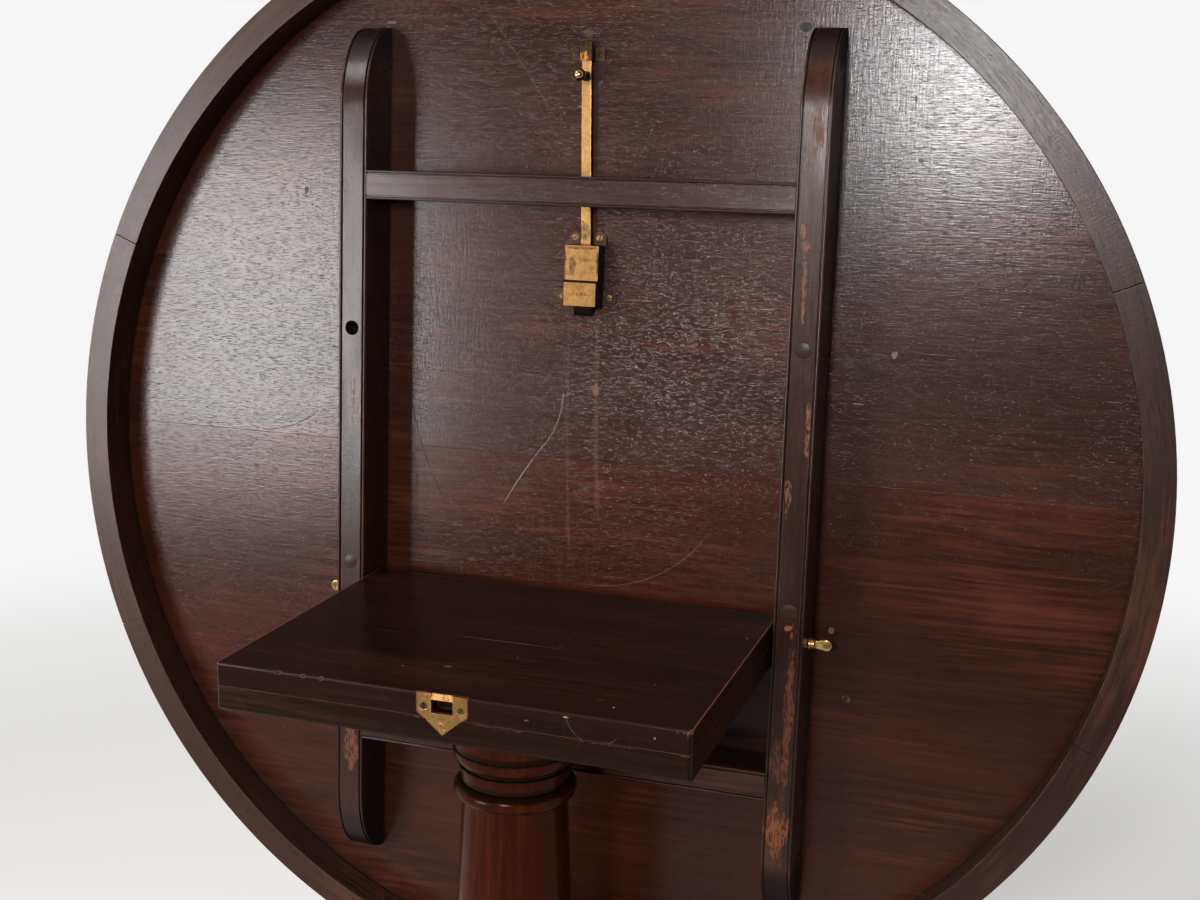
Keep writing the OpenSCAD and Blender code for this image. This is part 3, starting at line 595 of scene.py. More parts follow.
class Effects:
    """The effects that several finishes share."""

    def __init__(self) -> None:
        """Builds every effect once."""
        vector = {"Vector": "Vector"}
        self.figure = effect(
            "wood_figure",
            vector
            | {"Dark": "Color", "Mid": "Color", "Light": "Color"}
            | {"Streaks": "Float", "Coarse": "Float"},
            {"Color": "Color", "Height": "Float", "Fibre": "Float"},
            self._figure,
        )
        # Edge wear, and painted shade in inner corners
        self.wear = effect(
            "edge_wear_and_corner_shade",
            vector | {"Radius": "Float", "Amount": "Float"},
            {"Mask": "Float", "Nook": "Float"},
            self._wear_and_shade,
        )
        self.scratches = effect(
            "scratches",
            vector | {"Amount": "Float"},
            {"Mask": "Float"},
            self._scratches,
        )
        self.score = effect(
            "scored_line",
            vector
            | {"Centre": "Vector", "Radius": "Float", "Middle": "Vector"}
            | {"Reach": "Float", "Width": "Float", "Wander": "Float"},
            {"Mask": "Float"},
            self._score,
        )
        # Painted shade on the sides that turn away from a front
        self.away = effect(
            "shaded_sides",
            vector | {"Normal": "Vector", "Front": "Vector"},
            {"Mask": "Float"},
            self._shaded_sides,
        )
        self.haze = effect(
            "wax_haze",
            vector | {"Amount": "Float"},
            {"Mask": "Float"},
            self._haze,
        )
        self.breaks = effect(
            "broken_surface",
            vector,
            {"Rag": "Float", "Fleck": "Float", "Wander": "Float"},
            self._breaks,
        )
        self.mark = effect(
            "wear_stain_and_painted_light_mark",
            vector
            | {"Centre": "Vector", "Reach": "Vector"}
            | {"Ragged": "Float", "Rag": "Float", "Fleck": "Float"},
            {"Mask": "Float"},
            self._mark,
        )
        self.patina = effect(
            "metal_patina",
            vector
            | {"Bright": "Color", "Dull": "Color", "Dirt": "Color"}
            | {"Grime": "Float", "Polish": "Float"},
            {"Color": "Color", "Roughness": "Float", "Height": "Float", "Bare": "Float"},
            self._patina,
        )

    @staticmethod
    def _figure(g: Graph, i: dict) -> dict:
        """Mahogany figure: soft broad bands, short streaks, fine fibre and pores, all along X.

        Args:
            g: The effect's graph.
            i: Its inputs by name.

        Returns:
            Its outputs by name.
        """
        bend = g.noise(i["Vector"], (1.4, 4, 4), 2.0)
        shift = g.unite(0.0, g.math("MULTIPLY", bend, 0.05), g.math("MULTIPLY", bend, 0.04))
        where = g.vector("ADD", i["Vector"], shift)
        bands = g.noise(where, (1.2, 10, 10), 4.0, 0.6)
        streaks = g.noise(where, (6, 200, 200), 4.0, 0.6)
        fibre = g.noise(where, (20, 850, 850), 3.0, 0.6)
        patches = g.noise(where, (4, 8, 8), 4.0, 0.6)
        pores = g.spread(g.noise(where, (110, 2600, 2600), 1.0), 0.60, 0.70)
        body = g.total((0.45, bands), (0.3, streaks), (0.25, fibre))
        base = g.mix(g.spread(body, 0.38, 0.60), i["Dark"], i["Mid"])
        glow = g.spread(g.total((0.6, patches), (0.4, streaks)), 0.50, 0.68)
        base = g.mix(g.math("MULTIPLY", glow, i["Streaks"]), base, i["Light"])
        base = g.mix(g.math("MULTIPLY", pores, 0.45), base, (0.004, 0.002, 0.001))
        along = g.noise(i["Vector"], (520, 70, 70), 2.0)
        across = g.noise(i["Vector"], (60, 640, 640), 2.0)
        linen = g.math("MULTIPLY", along, across)
        height = g.total((0.6, g.math("MULTIPLY", fibre, i["Coarse"])), (-0.5, pores), (1.8, linen))
        return {"Color": base, "Height": height, "Fibre": fibre}

    @staticmethod
    def _wear_and_shade(g: Graph, i: dict) -> dict:
        """Masks of rubbed outer edges, and of inner corners that get painted shade.

        Args:
            g: The effect's graph.
            i: Its inputs by name.

        Returns:
            Its outputs by name.
        """
        soft = g.node("Bevel", {"Radius": i["Radius"]}, samples=6).outputs[0]
        hard = g.node("NewGeometry").outputs["Normal"]
        edge = g.spread(g.dot(soft, hard), 0.995, 0.86)
        broken = g.noise(i["Vector"], (26, 26, 26), 5.0, 0.65)
        none = g.math("SUBTRACT", 0.72, g.math("MULTIPLY", i["Amount"], 0.5))
        full = g.math("SUBTRACT", 0.86, g.math("MULTIPLY", i["Amount"], 0.4))
        rubbed = g.math("MULTIPLY", edge, g.spread(broken, none, full))
        # Ambient occlusion marks the inner corners that get painted shade
        nook = g.spread(g.node("AmbientOcclusion", {"Distance": 0.005}, samples=4).outputs["AO"], 0.9, 0.45)
        return {"Mask": g.math("MULTIPLY", rubbed, g.math("SUBTRACT", 1.0, nook), True), "Nook": nook}

    @staticmethod
    def _scratches(g: Graph, i: dict) -> dict:
        """Straight hair lines in three directions, gathered in patches.

        Args:
            g: The effect's graph.
            i: Its inputs by name.

        Returns:
            Its outputs by name.
        """
        x, y, z = g.split(i["Vector"])
        lines = []
        for degrees, size, patch in ((28, 6, 6.0), (-52, 10, 8.0), (81, 8, 5.0)):
            c = math.cos(math.radians(degrees))
            s = math.sin(math.radians(degrees))
            turned = g.unite(g.total((c, x), (s, z)), y, g.total((-s, x), (c, z)))
            hair = g.spread(g.noise(turned, (size, 40, 800), 1.0, 0.4), 0.71, 0.77)
            where = g.spread(g.noise(i["Vector"], (patch, patch, patch), 2.0), 0.54, 0.62)
            lines.append(g.math("MULTIPLY", hair, where))
        return {"Mask": g.math("MULTIPLY", g.most(*lines), i["Amount"], True)}

    @staticmethod
    def _score(g: Graph, i: dict) -> dict:
        """One long curved line on an upright face: part of a circle, seen along Y.

        Args:
            g: The effect's graph.
            i: Its inputs by name.

        Returns:
            Its outputs by name.
        """
        flat = (1.0, 0.0, 1.0)
        way = g.length(g.vector("MULTIPLY", g.vector("SUBTRACT", i["Vector"], i["Centre"]), flat))
        off = g.math("ABSOLUTE", g.math("SUBTRACT", way, i["Radius"]))
        outer = g.math("MULTIPLY", i["Width"], g.spread(i["Wander"], 0.3, 0.7, 0.4, 1.5))
        thin = g.spread(off, outer, g.math("MULTIPLY", i["Width"], 0.2))
        far = g.length(g.vector("MULTIPLY", g.vector("SUBTRACT", i["Vector"], i["Middle"]), flat))
        near = g.spread(far, i["Reach"], g.math("MULTIPLY", i["Reach"], 0.75))
        return {"Mask": g.math("MULTIPLY", thin, near, True)}

    @staticmethod
    def _shaded_sides(g: Graph, i: dict) -> dict:
        """Mask of the sides that get painted shade: all that turns away from the front.

        Args:
            g: The effect's graph.
            i: Its inputs by name.

        Returns:
            Its outputs by name.
        """
        facing = g.dot(i["Normal"], i["Front"])
        rag = g.noise(i["Vector"], (300, 300, 300))
        return {"Mask": g.spread(g.total((1.0, facing), (0.5, rag)), 1.08, 0.90)}

    @staticmethod
    def _haze(g: Graph, i: dict) -> dict:
        """Dull, slightly milky areas of old wax, with streaks down the surface.

        Args:
            g: The effect's graph.
            i: Its inputs by name.

        Returns:
            Its outputs by name.
        """
        cloud = g.noise(i["Vector"], (3.1, 2.3, 2.3), 4.0, 0.6, 0.4)
        runs = g.noise(i["Vector"], (40, 40, 5), 4.0, 0.6)
        dust = g.noise(i["Vector"], (700, 700, 700), 2.0)
        both = g.total((0.6, cloud), (0.25, runs), (0.15, dust))
        return {"Mask": g.math("MULTIPLY", g.spread(both, 0.42, 0.66), i["Amount"], True)}

    @staticmethod
    def _breaks(g: Graph, i: dict) -> dict:
        """What breaks up marks and scores: ragged outlines, flecks, and a change of width.

        Args:
            g: The effect's graph.
            i: Its inputs by name.

        Returns:
            Its outputs by name.
        """
        ragged = g.noise(i["Vector"], (170, 170, 60), 4.0, 0.6)
        rag = g.math("MULTIPLY", g.math("SUBTRACT", ragged, 0.5), 3.0)
        fleck = g.spread(g.noise(i["Vector"], (480, 480, 130), 3.0, 0.6), 0.40, 0.60)
        return {"Rag": rag, "Fleck": fleck, "Wander": g.noise(i["Vector"], (60, 60, 60))}

    @staticmethod
    def _mark(g: Graph, i: dict) -> dict:
        """A ragged oval patch round a centre, broken up by the surface where it is ragged.

        Args:
            g: The effect's graph.
            i: Its inputs by name.

        Returns:
            Its outputs by name.
        """
        off = g.vector("DIVIDE", g.vector("SUBTRACT", i["Vector"], i["Centre"]), i["Reach"])
        whole = g.spread(g.math("ADD", g.length(off), g.math("MULTIPLY", i["Rag"], i["Ragged"])), 1.1, 0.7)
        fleck = g.between(g.math("MINIMUM", i["Ragged"], 1.0), 1.0, i["Fleck"])
        return {"Mask": g.math("MULTIPLY", whole, fleck)}

    @staticmethod
    def _patina(g: Graph, i: dict) -> dict:
        """Old metal: rubbed bright on top, dull in patches, and dirty in its corners.

        Args:
            g: The effect's graph.
            i: Its inputs by name.

        Returns:
            Its outputs by name.
        """
        blotch = g.noise(i["Vector"], (150, 150, 110), 5.0, 0.6)
        fine = g.noise(i["Vector"], (900, 900, 700), 3.0, 0.6)
        nook = g.node("AmbientOcclusion", {"Distance": 0.004}, samples=6).outputs["AO"]
        corner = g.spread(nook, 0.85, 0.35)
        dirt = g.math("ADD", corner, g.math("MULTIPLY", g.spread(blotch, 0.42, 0.72), i["Grime"]), True)
        base = g.mix(g.spread(fine, 0.35, 0.7), i["Bright"], i["Dull"])
        base = g.mix(dirt, base, i["Dirt"])
        rough = g.math("ADD", i["Polish"], g.math("MULTIPLY", dirt, 0.35), True)
        height = g.math("ADD", fine, blotch)
        bare = g.math("SUBTRACT", 1.0, dirt, True)
        return {"Color": base, "Roughness": rough, "Height": height, "Bare": bare}


class Grain(Enum):
    """Which way the wood of a piece runs."""

    ACROSS = "along X"
    UP = "along Z"
    ROUND = "round the rim of the top"


@cache
def effects() -> Effects:
    """Returns the shared effects, built on first use."""
    return Effects()


@dataclass(frozen=True)
class Mark:
    """A rubbed or stained patch, or a patch of painted highlight or painted shade.

    It has a place, a reach, a colour and a strength. Its outline is ragged by an amount, and
    matt says how much polish it has lost.
    """

    centre: Spot
    reach: Spot
    colour: Colour
    amount: float = 0.8
    ragged: float = 0.3
    matt: float = 0.9


@dataclass(frozen=True)
class Score:
    """A long curved scratch on an upright face.

    It has the centre and radius of a circle, its own middle, half-length and half-width, and
    its colour, strength and depth.
    """

    centre: Spot
    radius: float
    middle: Spot
    reach: float
    width: float
    colour: Colour
    amount: float = 0.6
    depth: float = 1.0


# Near-black of the painted shade in inner corners
CORNER_SHADE_COLOUR: Colour = (0.004, 0.002, 0.0015)


@dataclass(frozen=True)
class WoodFinish:
    """Mahogany under old polish."""

    name: str
    dark: Colour
    mid: Colour
    light: Colour
    grain: Grain = Grain.ACROSS
    shift: Spot = (0.0, 0.0, 0.0)
    streaks: float = 0.8
    coarse: float = 1.0
    roughness: float = 0.42
    gloss: float = 0.3
    coat: float = 0.0
    coat_roughness: float = 0.15
    wear: float = 0.5
    wear_width: float = 0.0012
    worn: Colour = (0.10, 0.04, 0.02)
    scratch: float = 0.12
    scratch_colour: Colour = (0.11, 0.08, 0.07)
    haze: float = 0.1
    haze_colour: Colour = (0.10, 0.07, 0.065)
    bump: float = 0.14
    marks: tuple[Mark, ...] = ()
    over: tuple[Mark, ...] = ()
    scores: tuple[Score, ...] = ()

    def _grain_space(self, g: Graph, where: Socket) -> Socket:
        """Turns object coordinates so that the grain runs along X.

        Args:
            g: The material's graph.
            where: Object coordinates.

        Returns:
            The turned coordinates.
        """
        turned = where
        if self.grain is not Grain.ACROSS:
            x, y, z = g.split(where)
            if self.grain is Grain.UP:
                turned = g.unite(z, x, y)
            else:
                up = g.math("SUBTRACT", z, PIVOT.z + MIDDLE)
                angle = g.math("ARCTAN2", x, up)
                far = g.math("SQRT", g.math("ADD", g.math("MULTIPLY", x, x), g.math("MULTIPLY", up, up)))
                turned = g.unite(g.math("MULTIPLY", angle, 0.6), far, y)
        return g.vector("ADD", turned, self.shift)

    def _add_scores(
        self, g: Graph, where: Socket, wander: Socket, colour: Socket
    ) -> tuple[Socket, Socket | None]:
        """Draws the scores over a colour, on the underside only.

        Args:
            g: The material's graph.
            where: Object coordinates.
            wander: What changes the width of a score.
            colour: The colour so far.

        Returns:
            The colour with its scores, and the depth of their grooves if there are any.
        """
        _, across, _ = g.split(g.node("TexCoord").outputs["Normal"])
        facing = g.spread(across, -0.3, -0.6)
        grooves = None
        for item in self.scores:
            line = g.group(
                effects().score,
                Vector=where,
                Centre=item.centre,
                Radius=item.radius,
                Middle=item.middle,
                Reach=item.reach,
                Width=item.width,
                Wander=wander,
            )[0]
            line = g.math("MULTIPLY", line, facing)
            colour = g.mix(g.math("MULTIPLY", line, item.amount), colour, item.colour)
            groove = g.math("MULTIPLY", line, item.depth)
            grooves = groove if grooves is None else g.math("ADD", grooves, groove)
        return colour, grooves

    def material(self) -> bpy.types.Material:
        """Makes the finish.

        Returns:
            The material.
        """
        mat = bpy.data.materials.new(self.name)
        g = cleared(mat)
        fx = effects()
        where = g.node("TexCoord").outputs["Object"]
        figure = g.group(
            fx.figure,
            Vector=self._grain_space(g, where),
            Dark=self.dark,
            Mid=self.mid,
            Light=self.light,
            Streaks=self.streaks,
            Coarse=self.coarse,
        )
        haze = g.group(fx.haze, Vector=where, Amount=self.haze)[0]
        colour = g.mix(haze, figure["Color"], self.haze_colour)
        breaks = surface_breaks(g, where)
        colour, cover = add_marks(g, where, breaks, colour, self.marks)
        colour, grooves = self._add_scores(g, where, breaks["Wander"], colour)
        wear = g.group(fx.wear, Vector=where, Radius=self.wear_width, Amount=self.wear)
        colour = g.mix(wear["Mask"], colour, self.worn)
        # Painted shade: inner corners darken towards near-black
        colour = g.mix(g.math("MULTIPLY", wear["Nook"], 0.85), colour, CORNER_SHADE_COLOUR)
        colour, _ = add_marks(g, where, breaks, colour, self.over)
        scratch = g.group(fx.scratches, Vector=where, Amount=self.scratch)[0]
        colour = g.mix(scratch, colour, self.scratch_colour)
        height = g.math("SUBTRACT", figure["Height"], scratch)
        if grooves is not None:
            height = g.math("SUBTRACT", height, grooves)
        matt = g.most(g.math("MULTIPLY", wear["Mask"], 0.85), cover)
        fibre = g.math("MULTIPLY", g.math("SUBTRACT", figure["Fibre"], 0.5), 0.22)
        rough = g.math("ADD", g.math("ADD", self.roughness, fibre), g.math("MULTIPLY", matt, 0.45), True)
        relief = {"Strength": self.bump, "Distance": 0.0004, "Height": height}
        feeds = {
            "Base Color": colour,
            "Roughness": rough,
            "Normal": g.node("Bump", relief).outputs[0],
            "Specular IOR Level": self.gloss,
            "Coat Weight": self.coat,
            "Coat Roughness": self.coat_roughness,
        }
        g.finish(g.node("BsdfPrincipled", feeds))
        return mat


def surface_breaks(g: Graph, where: Socket) -> Sequence[Socket]:
    """Returns what breaks up a material's marks and scores, worked out once."""
    return g.group(effects().breaks, Vector=where)


def add_marks(
    g: Graph, where: Socket, breaks: Sequence[Socket], colour: Socket, marks: Sequence[Mark]
) -> tuple[Socket, Socket | None]:
    """Lays marks over a colour.

    Args:
        g: The material's graph.
        where: Object coordinates.
        breaks: What breaks up the marks.
        colour: The colour so far.
        marks: The marks, the last on top.

    Returns:
        The colour with its marks, and the mask of what lost its polish.
    """
    cover = None
    for item in marks:
        mark = g.group(
            effects().mark,
            Vector=where,
            Centre=item.centre,
            Reach=item.reach,
            Ragged=item.ragged,
            Rag=breaks["Rag"],
            Fleck=breaks["Fleck"],
        )[0]
        colour = g.mix(g.math("MULTIPLY", mark, item.amount), colour, item.colour)
        cover = g.most(cover, g.math("MULTIPLY", mark, item.amount * item.matt))
    return colour, cover


@dataclass(frozen=True)
class MetalFinish:
    """Brass or steel with patina, and painted shade on the sides that turn away from its front."""

    name: str
    bright: Colour
    dull: Colour
    dirt: Colour
    grime: float = 0.5
    polish: float = 0.3
    bump: float = 0.05
    # Faces that turn away from front get the side colour, as painted shade
    front: Spot | None = None
    side: Colour = (0.012, 0.008, 0.005)
    marks: tuple[Mark, ...] = ()

    def material(self) -> bpy.types.Material:
        """Makes the finish.

        Returns:
            The material.
        """
        mat = bpy.data.materials.new(self.name)
        g = cleared(mat)
        places = g.node("TexCoord").outputs
        where = places["Object"]
        patina = g.group(
            effects().patina,
            Vector=where,
            Bright=self.bright,
            Dull=self.dull,
            Dirt=self.dirt,
            Grime=self.grime,
            Polish=self.polish,
        )
        colour = patina["Color"]
        if self.marks:
            colour, _ = add_marks(g, where, surface_breaks(g, where), colour, self.marks)
        # Painted shade: the sides that turn away from the front go dark
        if self.front:
            away = g.group(effects().away, Vector=where, Normal=places["Normal"], Front=self.front)[0]
            colour = g.mix(away, colour, self.side)
        relief = {"Strength": self.bump, "Distance": 0.0002, "Height": patina["Height"]}
        feeds = {
            "Base Color": colour,
            "Roughness": patina["Roughness"],
            "Metallic": g.spread(patina["Bare"], 0.0, 0.6, 0.45, 1.0),
            "Normal": g.node("Bump", relief).outputs[0],
        }
        g.finish(g.node("BsdfPrincipled", feeds))
        return mat


Finish = WoodFinish | MetalFinish


@dataclass
class Finishes:
    """Every finish on the table, as materials by name."""

    made: dict[str, bpy.types.Material] = field(default_factory=dict)

    def get(self, finish: Finish) -> bpy.types.Material:
        """Looks up a material, which is made on first use.

        Args:
            finish: The finish.

        Returns:
            Its material.
        """
        if finish.name not in self.made:
            self.made[finish.name] = finish.material()
        return self.made[finish.name]


SCORES = (
    Score((0.131, 0.0, 0.965), 0.342, (-0.187, 0.0, 0.840), 0.068, 0.0006, (0.004, 0.002, 0.001), 0.8),
    Score((-0.126, 0.0, 0.922), 0.103, (-0.028, 0.0, 0.889), 0.036, 0.0005, (0.13, 0.09, 0.08), 0.6, 0.4),
    Score((0.391, 0.0, 0.526), 0.549, (-0.067, 0.0, 0.828), 0.048, 0.0005, (0.15, 0.10, 0.09), 0.7, 0.5),
    Score((-0.402, 0.0, 0.980), 0.131, (-0.357, 0.0, 0.857), 0.044, 0.0010, (0.03, 0.015, 0.01), 0.9, 1.4),
    Score((0.015, 0.0, 0.867), 0.158, (0.083, 0.0, 0.724), 0.085, 0.0006, (0.11, 0.07, 0.06), 0.4, 0.4),
    Score((-1.269, 0.0, 0.407), 1.468, (-0.083, 0.0, 1.272), 0.08, 0.0005, (0.12, 0.095, 0.085), 0.2, 0.2),
    Score((3.0135, 0.0, 1.001), 3.0, (0.0153, 0.0, 0.897), 0.12, 0.0040, (0.10, 0.045, 0.035), 0.26, 0.0),
    Score((2.9815, 0.0, 0.9555), 3.0, (-0.017, 0.0, 0.861), 0.14, 0.0026, (0.075, 0.035, 0.03), 0.22, 0.0),
)
BOARD_UPPER = WoodFinish(
    name="underside_upper",
    dark=(0.0150, 0.0043, 0.0027),
    mid=(0.0290, 0.0080, 0.0050),
    light=(0.0560, 0.0145, 0.0064),
    shift=(0.3, 0.0, 1.7),
    roughness=0.19,
    gloss=0.2,
    bump=0.22,
    wear=-0.5,
    haze=0.03,
    scores=SCORES,
    marks=(
        Mark((0.2229, 0.133, 1.306), (0.008, 0.012, 0.006), (0.006, 0.004, 0.003), 0.95, 0.2),
        Mark((-0.2338, 0.133, 1.311), (0.006, 0.012, 0.002), (0.12, 0.08, 0.07), 0.4, 0.4),
        Mark((-0.1344, 0.118, 0.965), (0.0045, 0.012, 0.0028), (0.008, 0.004, 0.003), 0.7, 0.5),
        Mark((-0.1636, 0.116, 0.910), (0.0035, 0.012, 0.0020), (0.008, 0.004, 0.003), 0.6, 0.5),
        Mark((-0.3377, 0.125, 1.128), (0.0030, 0.012, 0.0045), (0.010, 0.005, 0.004), 0.8, 0.4),
        Mark((-0.0088, 0.130, 1.244), (0.0020, 0.012, 0.0016), (0.006, 0.004, 0.003), 0.8, 0.3),
        Mark((0.0144, 0.117, 0.925), (0.0035, 0.012, 0.0060), (0.16, 0.06, 0.04), 0.55, 0.5),
        Mark((0.1307, 0.117, 0.923), (0.0030, 0.012, 0.0015), (0.12, 0.08, 0.07), 0.35, 0.5),
        Mark((-0.006, 0.133, 1.2995), (0.0058, 0.012, 0.0050), (0.07, 0.045, 0.038), 0.25, 0.2, 0.5),
        Mark((0.075, 0.124, 1.0540), (0.0250, 0.012, 0.0007), (0.20, 0.16, 0.15), 0.3, 0.6),
        Mark((0.060, 0.122, 1.0245), (0.0200, 0.012, 0.0006), (0.20, 0.16, 0.15), 0.3, 0.5),
        Mark((0.3362, 0.130, 1.2365), (0.0014, 0.012, 0.0048), (0.010, 0.008, 0.007), 0.8, 0.6),
        Mark((0.3446, 0.128, 1.1776), (0.0022, 0.012, 0.0016), (0.010, 0.008, 0.007), 0.7, 0.3),
        Mark((0.1936, 0.121, 1.0227), (0.0120, 0.012, 0.0005), (0.28, 0.22, 0.19), 0.5, 0.3),
        Mark((0.2974, 0.117, 0.9315), (0.0060, 0.012, 0.0009), (0.28, 0.22, 0.19), 0.5, 0.4),
        Mark((0.3315, 0.119, 0.9840), (0.0028, 0.012, 0.0032), (0.16, 0.11, 0.09), 0.5, 0.8),
    ),
)
BOARD_LOWER = WoodFinish(
    name="underside_lower",
    dark=(0.0160, 0.0035, 0.0018),
    mid=(0.0320, 0.0072, 0.0035),
    light=(0.0620, 0.0145, 0.0056),
    shift=(1.9, 0.0, 0.4),
    roughness=0.19,
    gloss=0.17,
    bump=0.22,
    wear=-0.5,
    haze=0.0,
    scores=SCORES,
    marks=(
        Mark((-0.0716, 0.113, 0.836), (0.0022, 0.012, 0.0016), (0.008, 0.003, 0.002), 0.8, 0.3),
        Mark((0.284, 0.107, 0.690), (0.0035, 0.012, 0.0040), (0.16, 0.11, 0.09), 0.5, 0.3),
        Mark((0.3045, 0.103, 0.618), (0.0040, 0.012, 0.0030), (0.12, 0.09, 0.08), 0.5, 1.0),
    ),
)
APRON = WoodFinish(
    name="rim_mahogany",
    dark=(0.012, 0.005, 0.0035),
    mid=(0.028, 0.010, 0.0065),
    light=(0.055, 0.018, 0.010),
    grain=Grain.ROUND,
    wear=0.7,
    worn=(0.12, 0.055, 0.035),
    haze=0.05,
    gloss=0.18,
    roughness=0.3,
)
BEARER = WoodFinish(
    name="bearer_mahogany",
    dark=(0.012, 0.0045, 0.003),
    mid=(0.024, 0.0085, 0.0055),
    light=(0.050, 0.016, 0.008),
    grain=Grain.UP,
    shift=(0.0, 0.4, 0.2),
    wear=0.7,
    scratch=0.18,
    haze=0.04,
    gloss=0.2,
    roughness=0.23,
    marks=(
        Mark((0.2545, 0.0445, 0.615), (0.0050, 0.02, 0.078), (0.12, 0.030, 0.010), 0.75, 0.9),
        Mark((0.2467, 0.042, 0.562), (0.0090, 0.02, 0.022), (0.10, 0.028, 0.010), 0.55, 1.0),
        Mark((0.2475, 0.038, 0.482), (0.0110, 0.02, 0.030), (0.17, 0.045, 0.012), 0.75, 0.9),
        Mark((0.2493, 0.048, 0.7063), (0.0042, 0.02, 0.0028), (0.20, 0.05, 0.012), 0.8, 0.6),
        Mark((0.2531, 0.048, 0.6985), (0.0028, 0.02, 0.0050), (0.18, 0.045, 0.012), 0.7, 0.8),
        Mark((0.2522, 0.070, 1.2030), (0.0060, 0.02, 0.0300), (0.085, 0.034, 0.016), 0.85, 0.9),
        Mark((0.2424, 0.066, 1.1081), (0.0030, 0.02, 0.0060), (0.18, 0.050, 0.016), 0.6, 0.9),
        Mark((0.2463, 0.065, 1.0933), (0.0050, 0.02, 0.0050), (0.18, 0.050, 0.016), 0.7, 0.9),
        Mark((0.2466, 0.063, 1.0480), (0.0022, 0.02, 0.0320), (0.13, 0.038, 0.014), 0.6, 1.0),
        Mark((0.2585, 0.057, 0.9120), (0.0026, 0.02, 0.0260), (0.15, 0.042, 0.014), 0.65, 1.0),
        Mark((0.2410, 0.054, 0.8450), (0.0030, 0.02, 0.0260), (0.15, 0.042, 0.014), 0.65, 1.0),
        Mark((-0.2483, 0.039, 0.505), (0.0085, 0.02, 0.0280), (0.13, 0.034, 0.012), 0.75, 0.9),
        Mark((-0.2520, 0.045, 0.560), (0.0060, 0.02, 0.0160), (0.11, 0.040, 0.020), 0.5, 0.9),
        Mark((-0.2470, 0.056, 0.905), (0.0030, 0.02, 0.0220), (0.14, 0.040, 0.014), 0.5, 1.0),
        # Painted shade: near-black patches over the noses at both ends of both bearers, which turn away from
        # the light
        Mark((0.249, 0.118, 1.303), (0.040, 0.055, 0.047), (0.004, 0.002, 0.0015), 0.85, 0.1, 0.6),
        Mark((-0.249, 0.118, 1.303), (0.040, 0.055, 0.047), (0.004, 0.002, 0.0015), 0.85, 0.1, 0.6),
        Mark((0.249, 0.062, 0.400), (0.040, 0.050, 0.055), (0.004, 0.002, 0.0015), 0.85, 0.1, 0.6),
        Mark((-0.249, 0.062, 0.385), (0.040, 0.050, 0.050), (0.004, 0.002, 0.0015), 0.85, 0.1, 0.6),
    ),
)
RAIL = WoodFinish(
    name="rail_mahogany",
    dark=(0.012, 0.0045, 0.003),
    mid=(0.024, 0.0085, 0.0055),
    light=(0.050, 0.016, 0.008),
    grain=Grain.ACROSS,
    shift=(0.7, 0.1, 0.0),
    wear=0.7,
    scratch=0.18,
    haze=0.04,
    gloss=0.2,
    roughness=0.23,
)
BLOCK_OVER = (
    Mark((0.0, -0.255, 0.6838), (0.500, 0.700, 0.0010), (0.006, 0.003, 0.002), 0.95, 0.1),
    # Painted glints: the pale flecks along the joint between the two boards
    Mark((-0.020, -0.255, 0.6833), (0.0120, 0.02, 0.0004), (0.10, 0.075, 0.06), 0.6, 1.0),
    Mark((0.050, -0.255, 0.6833), (0.0220, 0.02, 0.0004), (0.09, 0.065, 0.05), 0.6, 1.0),
    Mark((0.160, -0.255, 0.6833), (0.0300, 0.02, 0.0004), (0.08, 0.055, 0.04), 0.5, 1.0),
    Mark((0.225, -0.255, 0.6835), (0.0060, 0.02, 0.0006), (0.12, 0.08, 0.065), 0.5, 0.9),
    Mark((-0.1657, -0.2550, 0.7060), (0.0026, 0.0030, 0.0020), (0.004, 0.002, 0.0015), 0.8, 0.2),
    Mark((-0.1397, -0.2550, 0.7060), (0.0020, 0.0024, 0.0016), (0.004, 0.002, 0.0015), 0.8, 0.2),
    Mark((-0.1213, -0.2550, 0.7060), (0.0020, 0.0024, 0.0016), (0.004, 0.002, 0.0015), 0.8, 0.2),
    Mark((0.0, -0.075, 0.708), (0.090, 0.060, 0.004), (0.010, 0.0040, 0.0027), 0.95, 0.05, 0.0),
    # Painted highlight: pale lines along the tenon's front edge, its right end and, fainter, near its back
    # edge
    Mark((0.0, -0.0995, 0.707), (0.052, 0.0008, 0.01), (0.09, 0.06, 0.048), 0.8, 0.5),
    Mark((0.0541, -0.0965, 0.707), (0.0007, 0.004, 0.01), (0.07, 0.05, 0.04), 0.7, 0.5),
    Mark((-0.0100, -0.0555, 0.707), (0.040, 0.0006, 0.01), (0.04, 0.028, 0.024), 0.7, 0.9),
)
